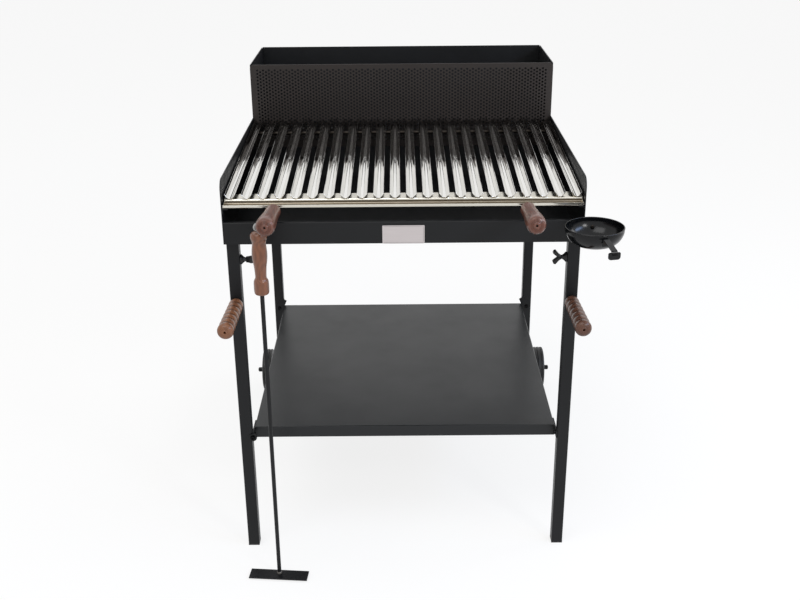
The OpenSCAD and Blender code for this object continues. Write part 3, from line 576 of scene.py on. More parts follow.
@dataclass(frozen=True)
class PolishedSteel:
    """Polished stainless sheet: nearly a mirror, with faint drawn lines and slow waves."""

    name: str
    bright: str = "#f1efed"
    dull: str = "#dfdfdb"
    gloss: float = 0.045
    # Folding leaves slow waves a few millimetres wide across a bar and a hand long
    wave_mm: tuple[float, float, float] = (6.0, 60.0, 6.0)
    # Polishing lines are finer than 0.1 mm; drawn at 1.2 mm so that they show
    line_mm: tuple[float, float, float] = (1.2, 160.0, 1.2)
    wave_depth: float = 0.05
    # The bars bow a little under their own folds: the slope in y that the mirror shows
    bow: float = 0.0
    # Painted reflection: the bars' rear parts get a dark colour for the dark basket panel that
    # they mirror; it starts at this y in mm on each bar's middle
    painted_reflection_y: float | None = None
    painted_reflection_shade: str = "#625d59"
    # The bars stand this far apart, and the painted reflection reaches furthest forward on their
    # slopes
    pitch_mm: float = 32.8
    painted_reflection_reach: float = 62.0

    def make(self) -> bpy.types.Material:
        """Build the material."""
        material = bpy.data.materials.new(self.name)
        material.use_nodes = True
        tree = material.node_tree
        shader = tree.nodes["Principled BSDF"]
        place = add_node(tree, "ShaderNodeTexCoord").outputs["Object"]
        along = add_node(tree, "ShaderNodeMapping", {
            "Vector": place, "Scale": [1000 / v for v in self.line_mm]})
        across = add_node(tree, "ShaderNodeMapping", {
            "Vector": place, "Scale": [1000 / v for v in self.wave_mm]})
        lines = add_node(tree, "ShaderNodeTexNoise", {
            "Vector": along.outputs["Vector"], "Scale": 1.0, "Detail": 3.0})
        waves = add_node(tree, "ShaderNodeTexNoise", {
            "Vector": across.outputs["Vector"], "Scale": 1.0, "Detail": 2.0})
        colour = add_node(tree, "ShaderNodeMix", {
            "Factor": waves.outputs["Fac"], "A": linear(self.bright), "B": linear(self.dull)},
            data_type="RGBA")
        gloss = add_node(tree, "ShaderNodeMapRange", {
            "Value": lines.outputs["Fac"], "From Min": 0.3, "From Max": 0.7,
            "To Min": self.gloss * 0.7, "To Max": self.gloss * 1.6})
        along_y = add_node(tree, "ShaderNodeSeparateXYZ", {"Vector": place})
        paint = colour.outputs["Result"]
        # Painted reflection: the bars' rear parts get a dark colour for the dark basket panel that
        # they mirror
        if self.painted_reflection_y is not None:
            painted_reflection = self.painted_reflection_mask(tree, along_y, waves.outputs["Fac"])
            painted_reflection_mix = add_node(tree, "ShaderNodeMix", {
                "Factor": painted_reflection, "A": paint, "B": linear(self.painted_reflection_shade)}, data_type="RGBA")
            paint = painted_reflection_mix.outputs["Result"]
        sag = add_node(tree, "ShaderNodeMath", {
            0: along_y.outputs["Y"], 1: 1000 * self.bow}, operation="MULTIPLY")
        ripple = add_node(tree, "ShaderNodeMath", {
            0: waves.outputs["Fac"], 1: self.wave_depth, 2: sag.outputs["Value"]},
            operation="MULTIPLY_ADD")
        slow = add_node(tree, "ShaderNodeBump", {
            "Height": ripple.outputs["Value"], "Strength": 1.0, "Distance": 0.001})
        fine = add_node(tree, "ShaderNodeBump", {
            "Height": lines.outputs["Fac"], "Strength": 0.04, "Distance": 0.0003,
            "Normal": slow.outputs["Normal"]})
        tree.links.new(paint, shader.inputs["Base Color"])
        tree.links.new(gloss.outputs["Result"], shader.inputs["Roughness"])
        tree.links.new(fine.outputs["Normal"], shader.inputs["Normal"])
        shader.inputs["Metallic"].default_value = 1.0
        return material

    def painted_reflection_mask(self, tree: bpy.types.NodeTree, place: bpy.types.Node,
                  ragged: bpy.types.NodeSocket) -> bpy.types.NodeSocket:
        """Draw where the smoke's film lies: 0 on the wiped front, 1 at the rear.

        Args:
            tree: The material's node tree.
            place: The node that gives the place in metres.
            ragged: A noise that frays the painted reflection's edge.

        Returns:
            The output that holds the mask.
        """
        x_mm = add_node(tree, "ShaderNodeMath", {0: place.outputs["X"], 1: 1000.0},
                        operation="MULTIPLY")
        # 0 in the middle of a gap, half the pitch on the middle of a bar
        inward = add_node(tree, "ShaderNodeMath", {
            0: x_mm.outputs["Value"], 1: self.pitch_mm / 2}, operation="PINGPONG")
        slope = add_node(tree, "ShaderNodeMath", {0: inward.outputs["Value"], 1: 9.3},
                         operation="SUBTRACT")
        off = add_node(tree, "ShaderNodeMath", {0: slope.outputs["Value"]},
                       operation="ABSOLUTE")
        spike = add_node(tree, "ShaderNodeMapRange", {
            "Value": off.outputs["Value"], "From Min": 0.3, "From Max": 3.2,
            "To Min": self.painted_reflection_reach, "To Max": 0.0})
        fray = add_node(tree, "ShaderNodeMapRange", {
            "Value": ragged, "From Min": 0.3, "From Max": 0.7, "To Min": -24.0,
            "To Max": 24.0})
        reach = add_node(tree, "ShaderNodeMath", {
            0: spike.outputs["Result"], 1: fray.outputs["Result"]}, operation="ADD")
        depth = add_node(tree, "ShaderNodeMath", {
            0: place.outputs["Y"], 1: 1000.0, 2: reach.outputs["Value"]},
            operation="MULTIPLY_ADD")
        mask = add_node(tree, "ShaderNodeMapRange", {
            "Value": depth.outputs["Value"], "From Min": self.painted_reflection_y,
            "From Max": self.painted_reflection_y + 30.0})
        return mask.outputs["Result"]


@dataclass(frozen=True)
class ZincSteel:
    """Zinc-plated steel: a soft grey shine with small cloudy spangles."""

    name: str
    bright: str = "#b4b4b2"
    dull: str = "#8f9090"
    # Spangles are 1 to 3 mm across on small plated parts
    spangle_mm: float = 2.0

    def make(self) -> bpy.types.Material:
        """Build the material."""
        material = bpy.data.materials.new(self.name)
        material.use_nodes = True
        tree = material.node_tree
        shader = tree.nodes["Principled BSDF"]
        place = add_node(tree, "ShaderNodeTexCoord").outputs["Object"]
        spangle = add_node(tree, "ShaderNodeTexNoise", {
            "Vector": place, "Scale": 1000 / self.spangle_mm, "Detail": 3.0, "Distortion": 0.6})
        colour = add_node(tree, "ShaderNodeMix", {
            "Factor": spangle.outputs["Fac"], "A": linear(self.bright), "B": linear(self.dull)},
            data_type="RGBA")
        gloss = add_node(tree, "ShaderNodeMapRange", {
            "Value": spangle.outputs["Fac"], "To Min": 0.26, "To Max": 0.44})
        bump = add_node(tree, "ShaderNodeBump", {
            "Height": spangle.outputs["Fac"], "Strength": 0.1, "Distance": 0.0002})
        tree.links.new(colour.outputs["Result"], shader.inputs["Base Color"])
        tree.links.new(gloss.outputs["Result"], shader.inputs["Roughness"])
        tree.links.new(bump.outputs["Normal"], shader.inputs["Normal"])
        shader.inputs["Metallic"].default_value = 1.0
        return material


@dataclass(frozen=True)
class VarnishedBeech:
    """Turned beech under stained varnish: long grain, growth rings on the end, a clear gloss."""

    name: str
    centre_mm: tuple[float, float, float]
    turn: tuple[float, float, float]
    dark: str = "#3a2117"
    light: str = "#7c4a3a"
    pore: str = "#28160f"
    # Growth rings of beech stand 2 to 4 mm apart
    ring_mm: float = 2.6
    # Pores and flecks are under 1 mm wide and several millimetres long
    fleck_mm: tuple[float, float, float] = (0.9, 0.9, 14.0)
    # Painted shade darkens the grooves between ribs this far apart, counted from a groove
    groove_mm: float = 0.0
    groove_start: float = 0.0
    groove_end: float = 0.0
    varnish: float = 0.8

    def make(self) -> bpy.types.Material:
        """Build the material."""
        material = bpy.data.materials.new(self.name)
        material.use_nodes = True
        tree = material.node_tree
        shader = tree.nodes["Principled BSDF"]
        place = add_node(tree, "ShaderNodeTexCoord").outputs["Object"]
        # The texture mapping takes the handle's middle off and lays its axis along z
        trued = add_node(tree, "ShaderNodeMapping", {
            "Vector": place, "Location": metres(*self.centre_mm), "Rotation": self.turn},
            vector_type="TEXTURE")
        drawn = add_node(tree, "ShaderNodeMapping", {
            "Vector": trued.outputs["Vector"], "Scale": [1000 / v for v in self.fleck_mm]})
        long_drawn = add_node(tree, "ShaderNodeMapping", {
            "Vector": trued.outputs["Vector"], "Scale": (130.0, 130.0, 9.0)})
        rings = add_node(tree, "ShaderNodeTexWave", {
            "Vector": trued.outputs["Vector"], "Scale": 1000 / self.ring_mm / (2 * math.pi) * 2,
            "Distortion": 0.5, "Detail": 2.0, "Detail Scale": 1.2},
            wave_type="RINGS", rings_direction="Z", wave_profile="SIN")
        figure = add_node(tree, "ShaderNodeTexNoise", {
            "Vector": long_drawn.outputs["Vector"], "Scale": 1.0, "Detail": 4.0})
        fleck = add_node(tree, "ShaderNodeTexNoise", {
            "Vector": drawn.outputs["Vector"], "Scale": 1.0, "Detail": 2.0})
        # Beech shows its rings only faintly under the stain, so they weigh little
        faint = add_node(tree, "ShaderNodeMapRange", {
            "Value": rings.outputs["Fac"], "To Min": 0.75, "To Max": 1.25})
        grain = add_node(tree, "ShaderNodeMath", {
            0: faint.outputs["Result"], 1: figure.outputs["Fac"]}, operation="MULTIPLY")
        body = add_node(tree, "ShaderNodeMix", {
            "Factor": grain.outputs["Value"], "A": linear(self.light), "B": linear(self.dark)},
            data_type="RGBA")
        pores = add_node(tree, "ShaderNodeMapRange", {
            "Value": fleck.outputs["Fac"], "From Min": 0.60, "From Max": 0.74, "To Max": 0.55})
        colour = add_node(tree, "ShaderNodeMix", {
            "Factor": pores.outputs["Result"], "A": body.outputs["Result"],
            "B": linear(self.pore)}, data_type="RGBA")
        bump = add_node(tree, "ShaderNodeBump", {
            "Height": fleck.outputs["Fac"], "Strength": 0.12, "Distance": 0.0003})
        paint = colour.outputs["Result"]
        # Painted shade: the grooves between the ribs get the dark pore colour
        if self.groove_mm:
            groove_shaded = add_node(tree, "ShaderNodeMix", {
                "Factor": self.groove_shade_mask(tree, trued.outputs["Vector"]), "A": paint,
                "B": linear(self.pore)}, data_type="RGBA")
            paint = groove_shaded.outputs["Result"]
        tree.links.new(paint, shader.inputs["Base Color"])
        tree.links.new(bump.outputs["Normal"], shader.inputs["Normal"])
        shader.inputs["Roughness"].default_value = 0.45
        shader.inputs["Specular IOR Level"].default_value = 0.2
        shader.inputs["Coat Weight"].default_value = self.varnish
        shader.inputs["Coat Roughness"].default_value = 0.27
        return material

    def groove_shade_mask(self, tree: bpy.types.NodeTree,
                    place: bpy.types.NodeSocket) -> bpy.types.NodeSocket:
        """Draw the painted shade in the grooves of a ribbed handle.

        Args:
            tree: The material's node tree.
            place: The place along the handle's own axes, in metres.

        Returns:
            The output that holds the mask, highest in the grooves.
        """
        split = add_node(tree, "ShaderNodeSeparateXYZ", {"Vector": place})
        along = add_node(tree, "ShaderNodeMath", {
            0: split.outputs["Z"], 1: 1000.0, 2: self.groove_start}, operation="MULTIPLY_ADD")
        off = add_node(tree, "ShaderNodeMath", {
            0: along.outputs["Value"], 1: self.groove_mm / 2}, operation="PINGPONG")
        mask = add_node(tree, "ShaderNodeMapRange", {
            "Value": off.outputs["Value"], "From Min": 0.5, "From Max": 4.5, "To Min": 0.75,
            "To Max": 0.0})
        ribbed = add_node(tree, "ShaderNodeMath", {
            0: split.outputs["Z"], 1: self.groove_end / 1000}, operation="LESS_THAN")
        kept = add_node(tree, "ShaderNodeMath", {
            0: mask.outputs["Result"], 1: ribbed.outputs["Value"]}, operation="MULTIPLY")
        return kept.outputs["Value"]


@dataclass(frozen=True)
class MouldedPlastic:
    """Black nylon from an etched mould: a matt skin with a fine, even texture."""

    name: str
    shade: str = "#131314"
    rubbed: str = "#1f1f20"
    gloss: float = 0.42
    # Etched mould texture is about 0.3 mm; drawn at 1 mm so that it shows
    etch_mm: float = 1.0

    def make(self) -> bpy.types.Material:
        """Build the material."""
        material = bpy.data.materials.new(self.name)
        material.use_nodes = True
        tree = material.node_tree
        shader = tree.nodes["Principled BSDF"]
        place = add_node(tree, "ShaderNodeTexCoord").outputs["Object"]
        etch = add_node(tree, "ShaderNodeTexNoise", {
            "Vector": place, "Scale": 1000 / self.etch_mm, "Detail": 2.0})
        cloud = add_node(tree, "ShaderNodeTexNoise", {
            "Vector": place, "Scale": 40.0, "Detail": 3.0})
        colour = add_node(tree, "ShaderNodeMix", {
            "Factor": cloud.outputs["Fac"], "A": linear(self.shade), "B": linear(self.rubbed)},
            data_type="RGBA")
        gloss = add_node(tree, "ShaderNodeMapRange", {
            "Value": cloud.outputs["Fac"], "To Min": self.gloss - 0.08,
            "To Max": self.gloss + 0.08})
        bump = add_node(tree, "ShaderNodeBump", {
            "Height": etch.outputs["Fac"], "Strength": 0.15, "Distance": 0.0002})
        tree.links.new(colour.outputs["Result"], shader.inputs["Base Color"])
        tree.links.new(gloss.outputs["Result"], shader.inputs["Roughness"])
        tree.links.new(bump.outputs["Normal"], shader.inputs["Normal"])
        shader.inputs["Specular IOR Level"].default_value = 0.4
        return material


@dataclass(frozen=True)
class PanEnamel:
    """Black vitreous enamel: a wet, deep gloss over a slightly uneven ground."""

    name: str
    shade: str = "#050608"
    edge: str = "#0a0c0f"
    # Fired enamel pools and thins over about 10 mm
    pool_mm: float = 10.0

    def make(self) -> bpy.types.Material:
        """Build the material."""
        material = bpy.data.materials.new(self.name)
        material.use_nodes = True
        tree = material.node_tree
        shader = tree.nodes["Principled BSDF"]
        place = add_node(tree, "ShaderNodeTexCoord").outputs["Object"]
        pool = add_node(tree, "ShaderNodeTexNoise", {
            "Vector": place, "Scale": 1000 / self.pool_mm, "Detail": 2.0})
        colour = add_node(tree, "ShaderNodeMix", {
            "Factor": pool.outputs["Fac"], "A": linear(self.shade), "B": linear(self.edge)},
            data_type="RGBA")
        bump = add_node(tree, "ShaderNodeBump", {
            "Height": pool.outputs["Fac"], "Strength": 0.1, "Distance": 0.0006})
        tree.links.new(colour.outputs["Result"], shader.inputs["Base Color"])
        tree.links.new(bump.outputs["Normal"], shader.inputs["Normal"])
        shader.inputs["Roughness"].default_value = 0.20
        shader.inputs["Specular IOR Level"].default_value = 0.30
        return material


@dataclass(frozen=True)
class SatinAluminium:
    """Brushed and clear-anodised aluminium: fine level lines in a soft, pale sheen."""

    name: str
    bright: str = "#d3cccc"
    dull: str = "#bdb6b6"
    # Brush lines are 0.1 mm apart; drawn at 0.8 mm so that they show
    line_mm: tuple[float, float, float] = (60.0, 0.8, 0.8)

    def make(self) -> bpy.types.Material:
        """Build the material."""
        material = bpy.data.materials.new(self.name)
        material.use_nodes = True
        tree = material.node_tree
        shader = tree.nodes["Principled BSDF"]
        place = add_node(tree, "ShaderNodeTexCoord").outputs["Object"]
        drawn = add_node(tree, "ShaderNodeMapping", {
            "Vector": place, "Scale": [1000 / v for v in self.line_mm]})
        lines = add_node(tree, "ShaderNodeTexNoise", {
            "Vector": drawn.outputs["Vector"], "Scale": 1.0, "Detail": 3.0})
        colour = add_node(tree, "ShaderNodeMix", {
            "Factor": lines.outputs["Fac"], "A": linear(self.bright), "B": linear(self.dull)},
            data_type="RGBA")
        bump = add_node(tree, "ShaderNodeBump", {
            "Height": lines.outputs["Fac"], "Strength": 0.08, "Distance": 0.0002})
        tree.links.new(colour.outputs["Result"], shader.inputs["Base Color"])
        tree.links.new(bump.outputs["Normal"], shader.inputs["Normal"])
        shader.inputs["Metallic"].default_value = 1.0
        shader.inputs["Roughness"].default_value = 0.33
        return material


class Finishes:
    """The finishes that several pieces share, each built once."""

    def __init__(self) -> None:
        """Build the shared materials."""
        self.black_paint = PowderCoat("black_powder_coat").make()
        self.shelf_paint = PowderCoat(
            "charcoal_powder_coat", shade="#131518", worn="#191b1c", gloss=0.33,
            shine=0.36).make()
        self.basket_paint = PowderCoat(
            "heat_browned_powder_coat", shade="#292523", worn="#37312e", gloss=0.45).make()
        # Painted shade: near-black paint for the walls of the basket's holes
        self.hole_shade_paint = PowderCoat(
            "hole_wall_painted_shade", shade="#050505", worn="#090808", gloss=0.8, shine=0.05).make()
        # The bars carry a painted reflection of the dark basket panel on their rear parts
        self.bar_steel = PolishedSteel(
            "polished_stainless_bars", bow=0.044, painted_reflection_y=-84.0).make()
        self.plain_steel = PolishedSteel("polished_stainless_sheet").make()
        self.gutter_steel = PolishedSteel(
            "polished_stainless_gutter", bright="#e2ded4", dull="#c6c3b8", gloss=0.20,
            wave_mm=(240.0, 30.0, 30.0), line_mm=(200.0, 1.2, 1.2), wave_depth=0.2).make()
        # Painted shade: a darker, browner steel for the inside of the gutter's trough
        self.trough_shade_steel = PolishedSteel(
            "trough_painted_shade_steel", bright="#a89e8e", dull="#7f776a", gloss=0.25,
            wave_mm=(120.0, 20.0, 20.0), line_mm=(200.0, 1.2, 1.2), wave_depth=0.3).make()
        # A dark grey steel for the grill's cross rod and the pan's rivets
        self.dark_steel = PolishedSteel(
            "dark_grey_steel", bright="#45403b", dull="#2c2825", gloss=0.4).make()
        self.black_steel = ZincSteel(
            "black_oxide_steel", bright="#232324", dull="#141415").make()
        self.zinc = ZincSteel("zinc_plated_steel").make()
        self.weld = ZincSteel("rubbed_weld_bead", bright="#6a6763", dull="#3b3937").make()
        self.plastic = MouldedPlastic("black_moulded_nylon").make()
        self.wheel_plastic = MouldedPlastic(
            "black_wheel_polypropylene", shade="#161616", rubbed="#222222", gloss=0.48).make()
        self.enamel = PanEnamel("black_vitreous_enamel").make()
        self.plate = SatinAluminium("satin_anodised_aluminium").make()
        self.plain_wood = VarnishedBeech("varnished_beech", (0, 0, 0), (0, 0, 0)).make()

    def of_slot(self, slot: Slot) -> bpy.types.Material:
        """Give the finish that stands for a slot of the record."""
        return {
            Slot.BLACK_PAINT: self.black_paint,
            Slot.SHELF_PAINT: self.shelf_paint,
            Slot.STAINLESS: self.plain_steel,
            Slot.ZINC: self.zinc,
            Slot.WOOD: self.plain_wood,
            Slot.PLASTIC: self.plastic,
            Slot.WHEEL_PLASTIC: self.wheel_plastic,
            Slot.PAN_ENAMEL: self.enamel,
            Slot.PLATE_METAL: self.plate,
        }[slot]

    def coat_nodes(self) -> None:
        """Give every CAD node the finish of its slot."""
        for row in frame["record"]["subparts"]:
            mesh = frame["nodes"][row["node"]].data
            mesh.materials.clear()
            mesh.materials.append(self.of_slot(Slot(row["material_slot"])))


def fit(work: Work, finish: bpy.types.Material, slot: Slot, body: Body, *nodes: str) -> Work:
    """Dress a finished piece and hand it to the frame.

    Args:
        work: The finished piece.
        finish: Its material.
        slot: The record's slot that it takes its finish from; not used.
        body: The CAD body that it rides on.
        nodes: The CAD nodes that it stands for.

    Returns:
        The piece.
    """
    work.take()
    work.thing.data.materials.clear()
    work.thing.data.materials.append(finish)
    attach(work.thing, body.value)
    if nodes:
        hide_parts(*nodes)
    LOG.info("%s: %d faces, rides on %s", work.thing.name, len(work.thing.data.polygons),
             body.value)
    return work


@dataclass
class Assembly:
    """What every sub-assembly needs: the shared finishes."""

    finishes: Finishes

    def dressed_copy(self, node: str, slot: Slot, body: Body, edge: float = 0.4) -> Work:
        """Carry a CAD node over with softened edges.

        Args:
            node: The CAD node.
            slot: The record's slot of its finish.
            body: The body that it rides on.
            edge: The width of its rounded edges in millimetres.

        Returns:
            The new piece.
        """
        work = Work.from_node(node, f"{node}_finished")
        if edge:
            work.soften(edge, 2).polish()
        else:
            work.smooth()
        return fit(work, self.finishes.of_slot(slot), slot, body, node)


# The firebox


@dataclass
class Firebox(Assembly):
    """The painted sheet-steel box with its firewood basket."""

    sheet: float = 2.0
    hem_bend: float = 2.0
    hole_radius: float = 2.5
    column_step: float = 6.928
    row_step: float = 8.0
    columns: int = 100
    rows: int = 22
    holes_low: float = 813.0
    corner_radius: float = 9.0

    def front_panel(self) -> None:
        """Fold the low front panel with its hem."""
        low, high = cad_box("front_panel")
        mid = low.y + self.sheet / 2
        top = high.z - self.sheet / 2
        section = [(low.x, mid, low.z), (low.x, mid, top), (low.x, high.y, top)]
        work = folded("front_panel_folded", section, (high.x - low.x, 0, 0), self.sheet,
                      self.hem_bend)
        fit(work.polish(), self.finishes.black_paint, Slot.BLACK_PAINT, Body.FRAME,
            "front_panel")

    def hole_field(self) -> Work:
        """Punch the field of round holes in staggered columns, one column copied across.

        Returns:
            The field as a flat sheet, in the xz plane at y 0.
        """
        flat = self.row_step / 2
        corner = flat / math.cos(math.radians(30))
        work = Work.ring("hole_column", (0, 0, 0), self.hole_radius, 12)
        work.everything()
        grow = flat / self.hole_radius
        bpy.ops.mesh.extrude_region_move()
        bpy.ops.transform.resize(value=(grow, grow, 1), center_override=(0, 0, 0))
        near = (flat + self.hole_radius) / 2
        work.choose(Pick.VERTS, lambda at, _: at.length > near and abs(
            (math.degrees(math.atan2(at.y, at.x)) + 390) % 60 - 30) < 5)
        share = corner / flat
        bpy.ops.transform.resize(value=(share, share, 1), center_override=(0, 0, 0))
        work.move(Matrix.Rotation(math.radians(90), 4, "X"))
        odd = work.copy("hole_column_odd", Matrix.Translation((self.column_step, 0, flat)))
        for column, count in ((work, self.rows), (odd, self.rows - 1)):
            column.modify("ARRAY", count=count, use_relative_offset=False,
                          use_constant_offset=True,
                          constant_offset_displace=metres(0, 0, self.row_step),
                          use_merge_vertices=True, merge_threshold=2e-5)
        work.join(odd)
        work.modify("ARRAY", count=self.columns // 2, use_relative_offset=False,
                    use_constant_offset=True,
                    constant_offset_displace=metres(2 * self.column_step, 0, 0),
                    use_merge_vertices=False)
        work.everything()
        bpy.ops.mesh.remove_doubles(threshold=5e-5)
        wide = (self.columns - 1) * self.column_step
        return work.move(Matrix.Translation((-wide / 2, 0, self.holes_low + flat)))

    def basket_front(self) -> None:
        """Make the perforated panel of the firewood basket, with its plain margin."""
        low, high = cad_box("basket_front")
        box = cad_box("front_panel")
        shoulder = cad_box("left_side_panel")[0].z + 132.0
        radius = self.corner_radius
        field = self.hole_field()
        half = (self.columns - 1) * self.column_step / 2
        reach = half + self.hole_radius + 0.2
        top = self.holes_low + self.rows * self.row_step
        bottom_hole = self.holes_low + self.row_step / 2 - self.hole_radius - 0.1
        outline = [(box[0].x, low.z), (box[1].x, low.z), (box[1].x, shoulder),
                   (high.x, shoulder)]
        outline += arc((high.x - radius, high.z - radius), radius, 0, 90, 8)
        outline += arc((low.x + radius, high.z - radius), radius, 90, 180, 8)
        outline += [(low.x, shoulder), (box[0].x, shoulder)]
        edge = Work.line("basket_outline", [(x, 0, z) for x, z in outline], closed=True)
        bpy.ops.mesh.delete(type="ONLY_FACE")
        field.join(edge)
        mesh = field.thing.data
        used: dict[tuple[int, int], int] = {}
        for face in mesh.polygons:
            for key in face.edge_keys:
                used[key] = used.get(key, 0) + 1
        field.take()
        bpy.ops.object.mode_set(mode="EDIT")
        bpy.ops.mesh.select_mode(type="EDGE")
        bpy.ops.mesh.select_all(action="DESELECT")
        bpy.ops.object.mode_set(mode="OBJECT")
        for line in mesh.edges:
            a, b = (mesh.vertices[i].co * 1000 for i in line.vertices)
            count = used.get(tuple(sorted(line.vertices)), 0)
            at = (a + b) / 2
            beside = abs(at.x) > reach - 0.1 or at.z > top - 0.5 or at.z < bottom_hole - 0.2
            in_hole = self.is_hole_edge(a, b)
            line.select = count == 0 or (count == 1 and not in_hole and beside) or (
                count == 1 and not in_hole)
        bpy.ops.object.mode_set(mode="EDIT")
        bpy.ops.mesh.fill(use_beauty=False)
        field.heal()
        field.move(Matrix.Translation((0, low.y + self.sheet / 2, 0)))
        field.thicken(self.sheet)
        fit(field.smooth(30), self.finishes.basket_paint, Slot.BLACK_PAINT, Body.FRAME,
            "basket_front")
        field.thing.name = "basket_front_perforated"
        # The walls of the holes get the near-black paint: painted shade inside the holes
        field.thing.data.materials.append(self.finishes.hole_shade_paint)
        for face in field.thing.data.polygons:
            at = face.center * 1000
            inside = abs(at.x) < reach and bottom_hole < at.z < top
            if abs(face.normal.y) < 0.5 and inside:
                face.material_index = 1

    def is_hole_edge(self, a: Vector, b: Vector) -> bool:
        """Tell whether an edge of the hole field lies on a hole's rim."""
        side = 2 * self.hole_radius * math.sin(math.radians(15))
        return abs((a - b).length - side) < 0.05

    def build(self) -> None:
        """Build the box."""
        for node in ("left_side_panel", "right_side_panel", "back_panel", "firebox_floor"):
            self.dressed_copy(node, Slot.BLACK_PAINT, Body.FRAME, 0.5)
        for node in ("left_grate_ledge", "right_grate_ledge", "left_grill_rail",
                     "right_grill_rail"):
            self.dressed_copy(node, Slot.BLACK_PAINT, Body.FRAME, 0.3)
        self.front_panel()
        self.basket_front()
        self.dressed_copy("fire_grate", Slot.BLACK_PAINT, Body.GRATE, 0.6)
        self.dressed_copy("grate_cross_bars", Slot.BLACK_PAINT, Body.GRATE, 0.0)


@dataclass
class Nameplate(Assembly):
    """The blank plate on the front panel."""

    corner: float = 1.5
    border: float = 1.6
    sink: float = 0.3

    def build(self) -> None:
        """Press the plate with a thin raised border."""
        low, high = cad_box("nameplate")
        work = Work.block("nameplate_blank", low, high)
        work.choose(Pick.EDGES, lambda _, way: abs(way.y) > 0.9).round(self.corner, 4)
        work.choose(Pick.FACES, lambda _, normal: normal.y < -0.9)
        work.inset(self.border).inset(0.4, self.sink)
        work.soften(0.12, 2, 50).polish()
        fit(work, self.finishes.plate, Slot.PLATE_METAL, Body.FRAME, "nameplate")


# Legs and shelf


@dataclass
class Legs(Assembly):
    """Four square tube legs on stubs, with end caps and wing screws."""

    corner: float = 2.6
    wall: float = 1.5
    collar_radius: float = 10.5
    collar_length: float = 9.0
    neck_radius: float = 4.0
    neck_length: float = 12.0
    wing_width: float = 12.0
    wing_wall: float = 6.0
    wing_reach: float = 29.0
    wing_span: float = 30.0
    seat_gap: float = 0.3
    turns: dict[str, float] = field(default_factory=lambda: {
        "front_left": 80.0, "front_right": 0.0, "rear_left": 30.0, "rear_right": 60.0})

    def tube(self) -> Work:
        """Draw one leg tube with rounded corners and open ends, at the first leg's place."""
        low, high = cad_box("front_left_leg")
        work = Work.block("leg_tube", low, high)
        work.choose(Pick.EDGES, lambda _, way: abs(way.z) > 0.9).round(self.corner, 5)
        work.choose(Pick.FACES, lambda _, normal: abs(normal.z) > 0.9).delete("ONLY_FACE")
        work.heal()
        return work.thicken(self.wall, -1).soften(0.3, 2, 60).polish()

    def wing_screw(self) -> Work:
        """Mould one wing screw, its axis on x and its collar's seat at x 0."""
        profile = [(0.0, 0.0), (0.0, 9.6), (0.5, self.collar_radius), (2.0, self.collar_radius),
                   (2.8, 10.0), (5.5, 7.0), (self.collar_length, self.neck_radius + 0.4),
                   (self.neck_length, self.neck_radius), (14.0, 3.4), (15.0, 0.0)]
        body = turned("wing_screw", profile, 40)
        body.move(Matrix.Rotation(math.radians(-90), 4, "Y"))
        half = self.wing_span / 2
        outline = [
            (1 - self.neck_length, 0.0), (1 - self.neck_length, self.wing_wall / 2),
            (-16.0, 6.4), (self.wing_wall - self.wing_reach, half),
            (-self.wing_reach + 2.2, half - 1.4), (-self.wing_reach, half - self.wing_wall),
            (-self.neck_length - self.wing_wall, 0.0)]
        wide = self.wing_width / 2
        wing = Work.line("wing", [(x, -wide, z) for x, z in outline], closed=True)
        wing.everything().extrude(0, 2 * wide, 0)
        wing.heal()
        wing.choose(Pick.VERTS, lambda at, _: at.x < -self.neck_length - 7)
        bpy.ops.transform.resize(value=(1, 1.0, 1))
        wing.soften(1.7, 3, 30)
        other = wing.copy("wing_other", Matrix.Rotation(math.radians(180), 4, "X"))
        return body.join(wing, other)

    def build(self) -> None:
        """Build the legs, stubs, caps and wing screws."""
        home = cad_box("front_left_leg")[0]
        tube = self.tube()
        screw = self.wing_screw()
        for spot, turn in self.turns.items():
            leg = f"{spot}_leg"
            low, high = cad_box(leg)
            made = tube.copy(f"{leg}_tube", Matrix.Translation(low - home))
            fit(made, self.finishes.black_paint, Slot.BLACK_PAINT, Body.FRAME, leg)
            self.dressed_copy(f"{spot}_stub", Slot.BLACK_PAINT, Body.FRAME, 0.4)
            side = 1 if low.x > 0 else -1
            inner = min(abs(low.x), abs(high.x)) - self.seat_gap
            wing_z = sum(c.z for c in cad_box("front_right_wing_screw")) / 2
            place = (Matrix.Diagonal((side, 1, 1, 1))
                     @ Matrix.Translation((inner, (low.y + high.y) / 2, wing_z))
                     @ Matrix.Rotation(math.radians(turn), 4, "X"))
            wing = screw.copy(f"{spot}_wing_screw_moulded", place).smooth(50)
            fit(wing, self.finishes.plastic, Slot.PLASTIC, Body[f"{spot}_screw".upper()],
                f"{spot}_wing_screw")
        bpy.data.objects.remove(tube.thing)
        bpy.data.objects.remove(screw.thing)
        self.dressed_copy("leg_end_caps", Slot.PLASTIC, Body.FRAME, 1.0)


@dataclass
class Shelf(Assembly):
    """The folded tray between the legs, with its brackets and screws."""

    sheet: float = 2.0
    fold: float = 2.5

    def build(self) -> None:
        """Fold the tray and carry its brackets and screws over."""
        low, high = cad_box("shelf")
        work = Work.block("shelf_tray", low, high)
        work.choose(Pick.EDGES, lambda at, _: at.z > high.z - 0.01).round(self.fold, 4)
        work.choose(Pick.FACES, lambda _, normal: normal.z < -0.9).delete("ONLY_FACE")
        work.heal()
        work.thicken(self.sheet, -1).soften(0.3, 2, 60).polish()
        fit(work, self.finishes.shelf_paint, Slot.SHELF_PAINT, Body.FRAME, "shelf")
        self.dressed_copy("shelf_brackets", Slot.BLACK_PAINT, Body.FRAME, 0.35)
        screws = self.dressed_copy("shelf_screws", Slot.ZINC, Body.FRAME, 0.0)
        screws.thing.data.materials[0] = self.finishes.black_steel


# Wheels


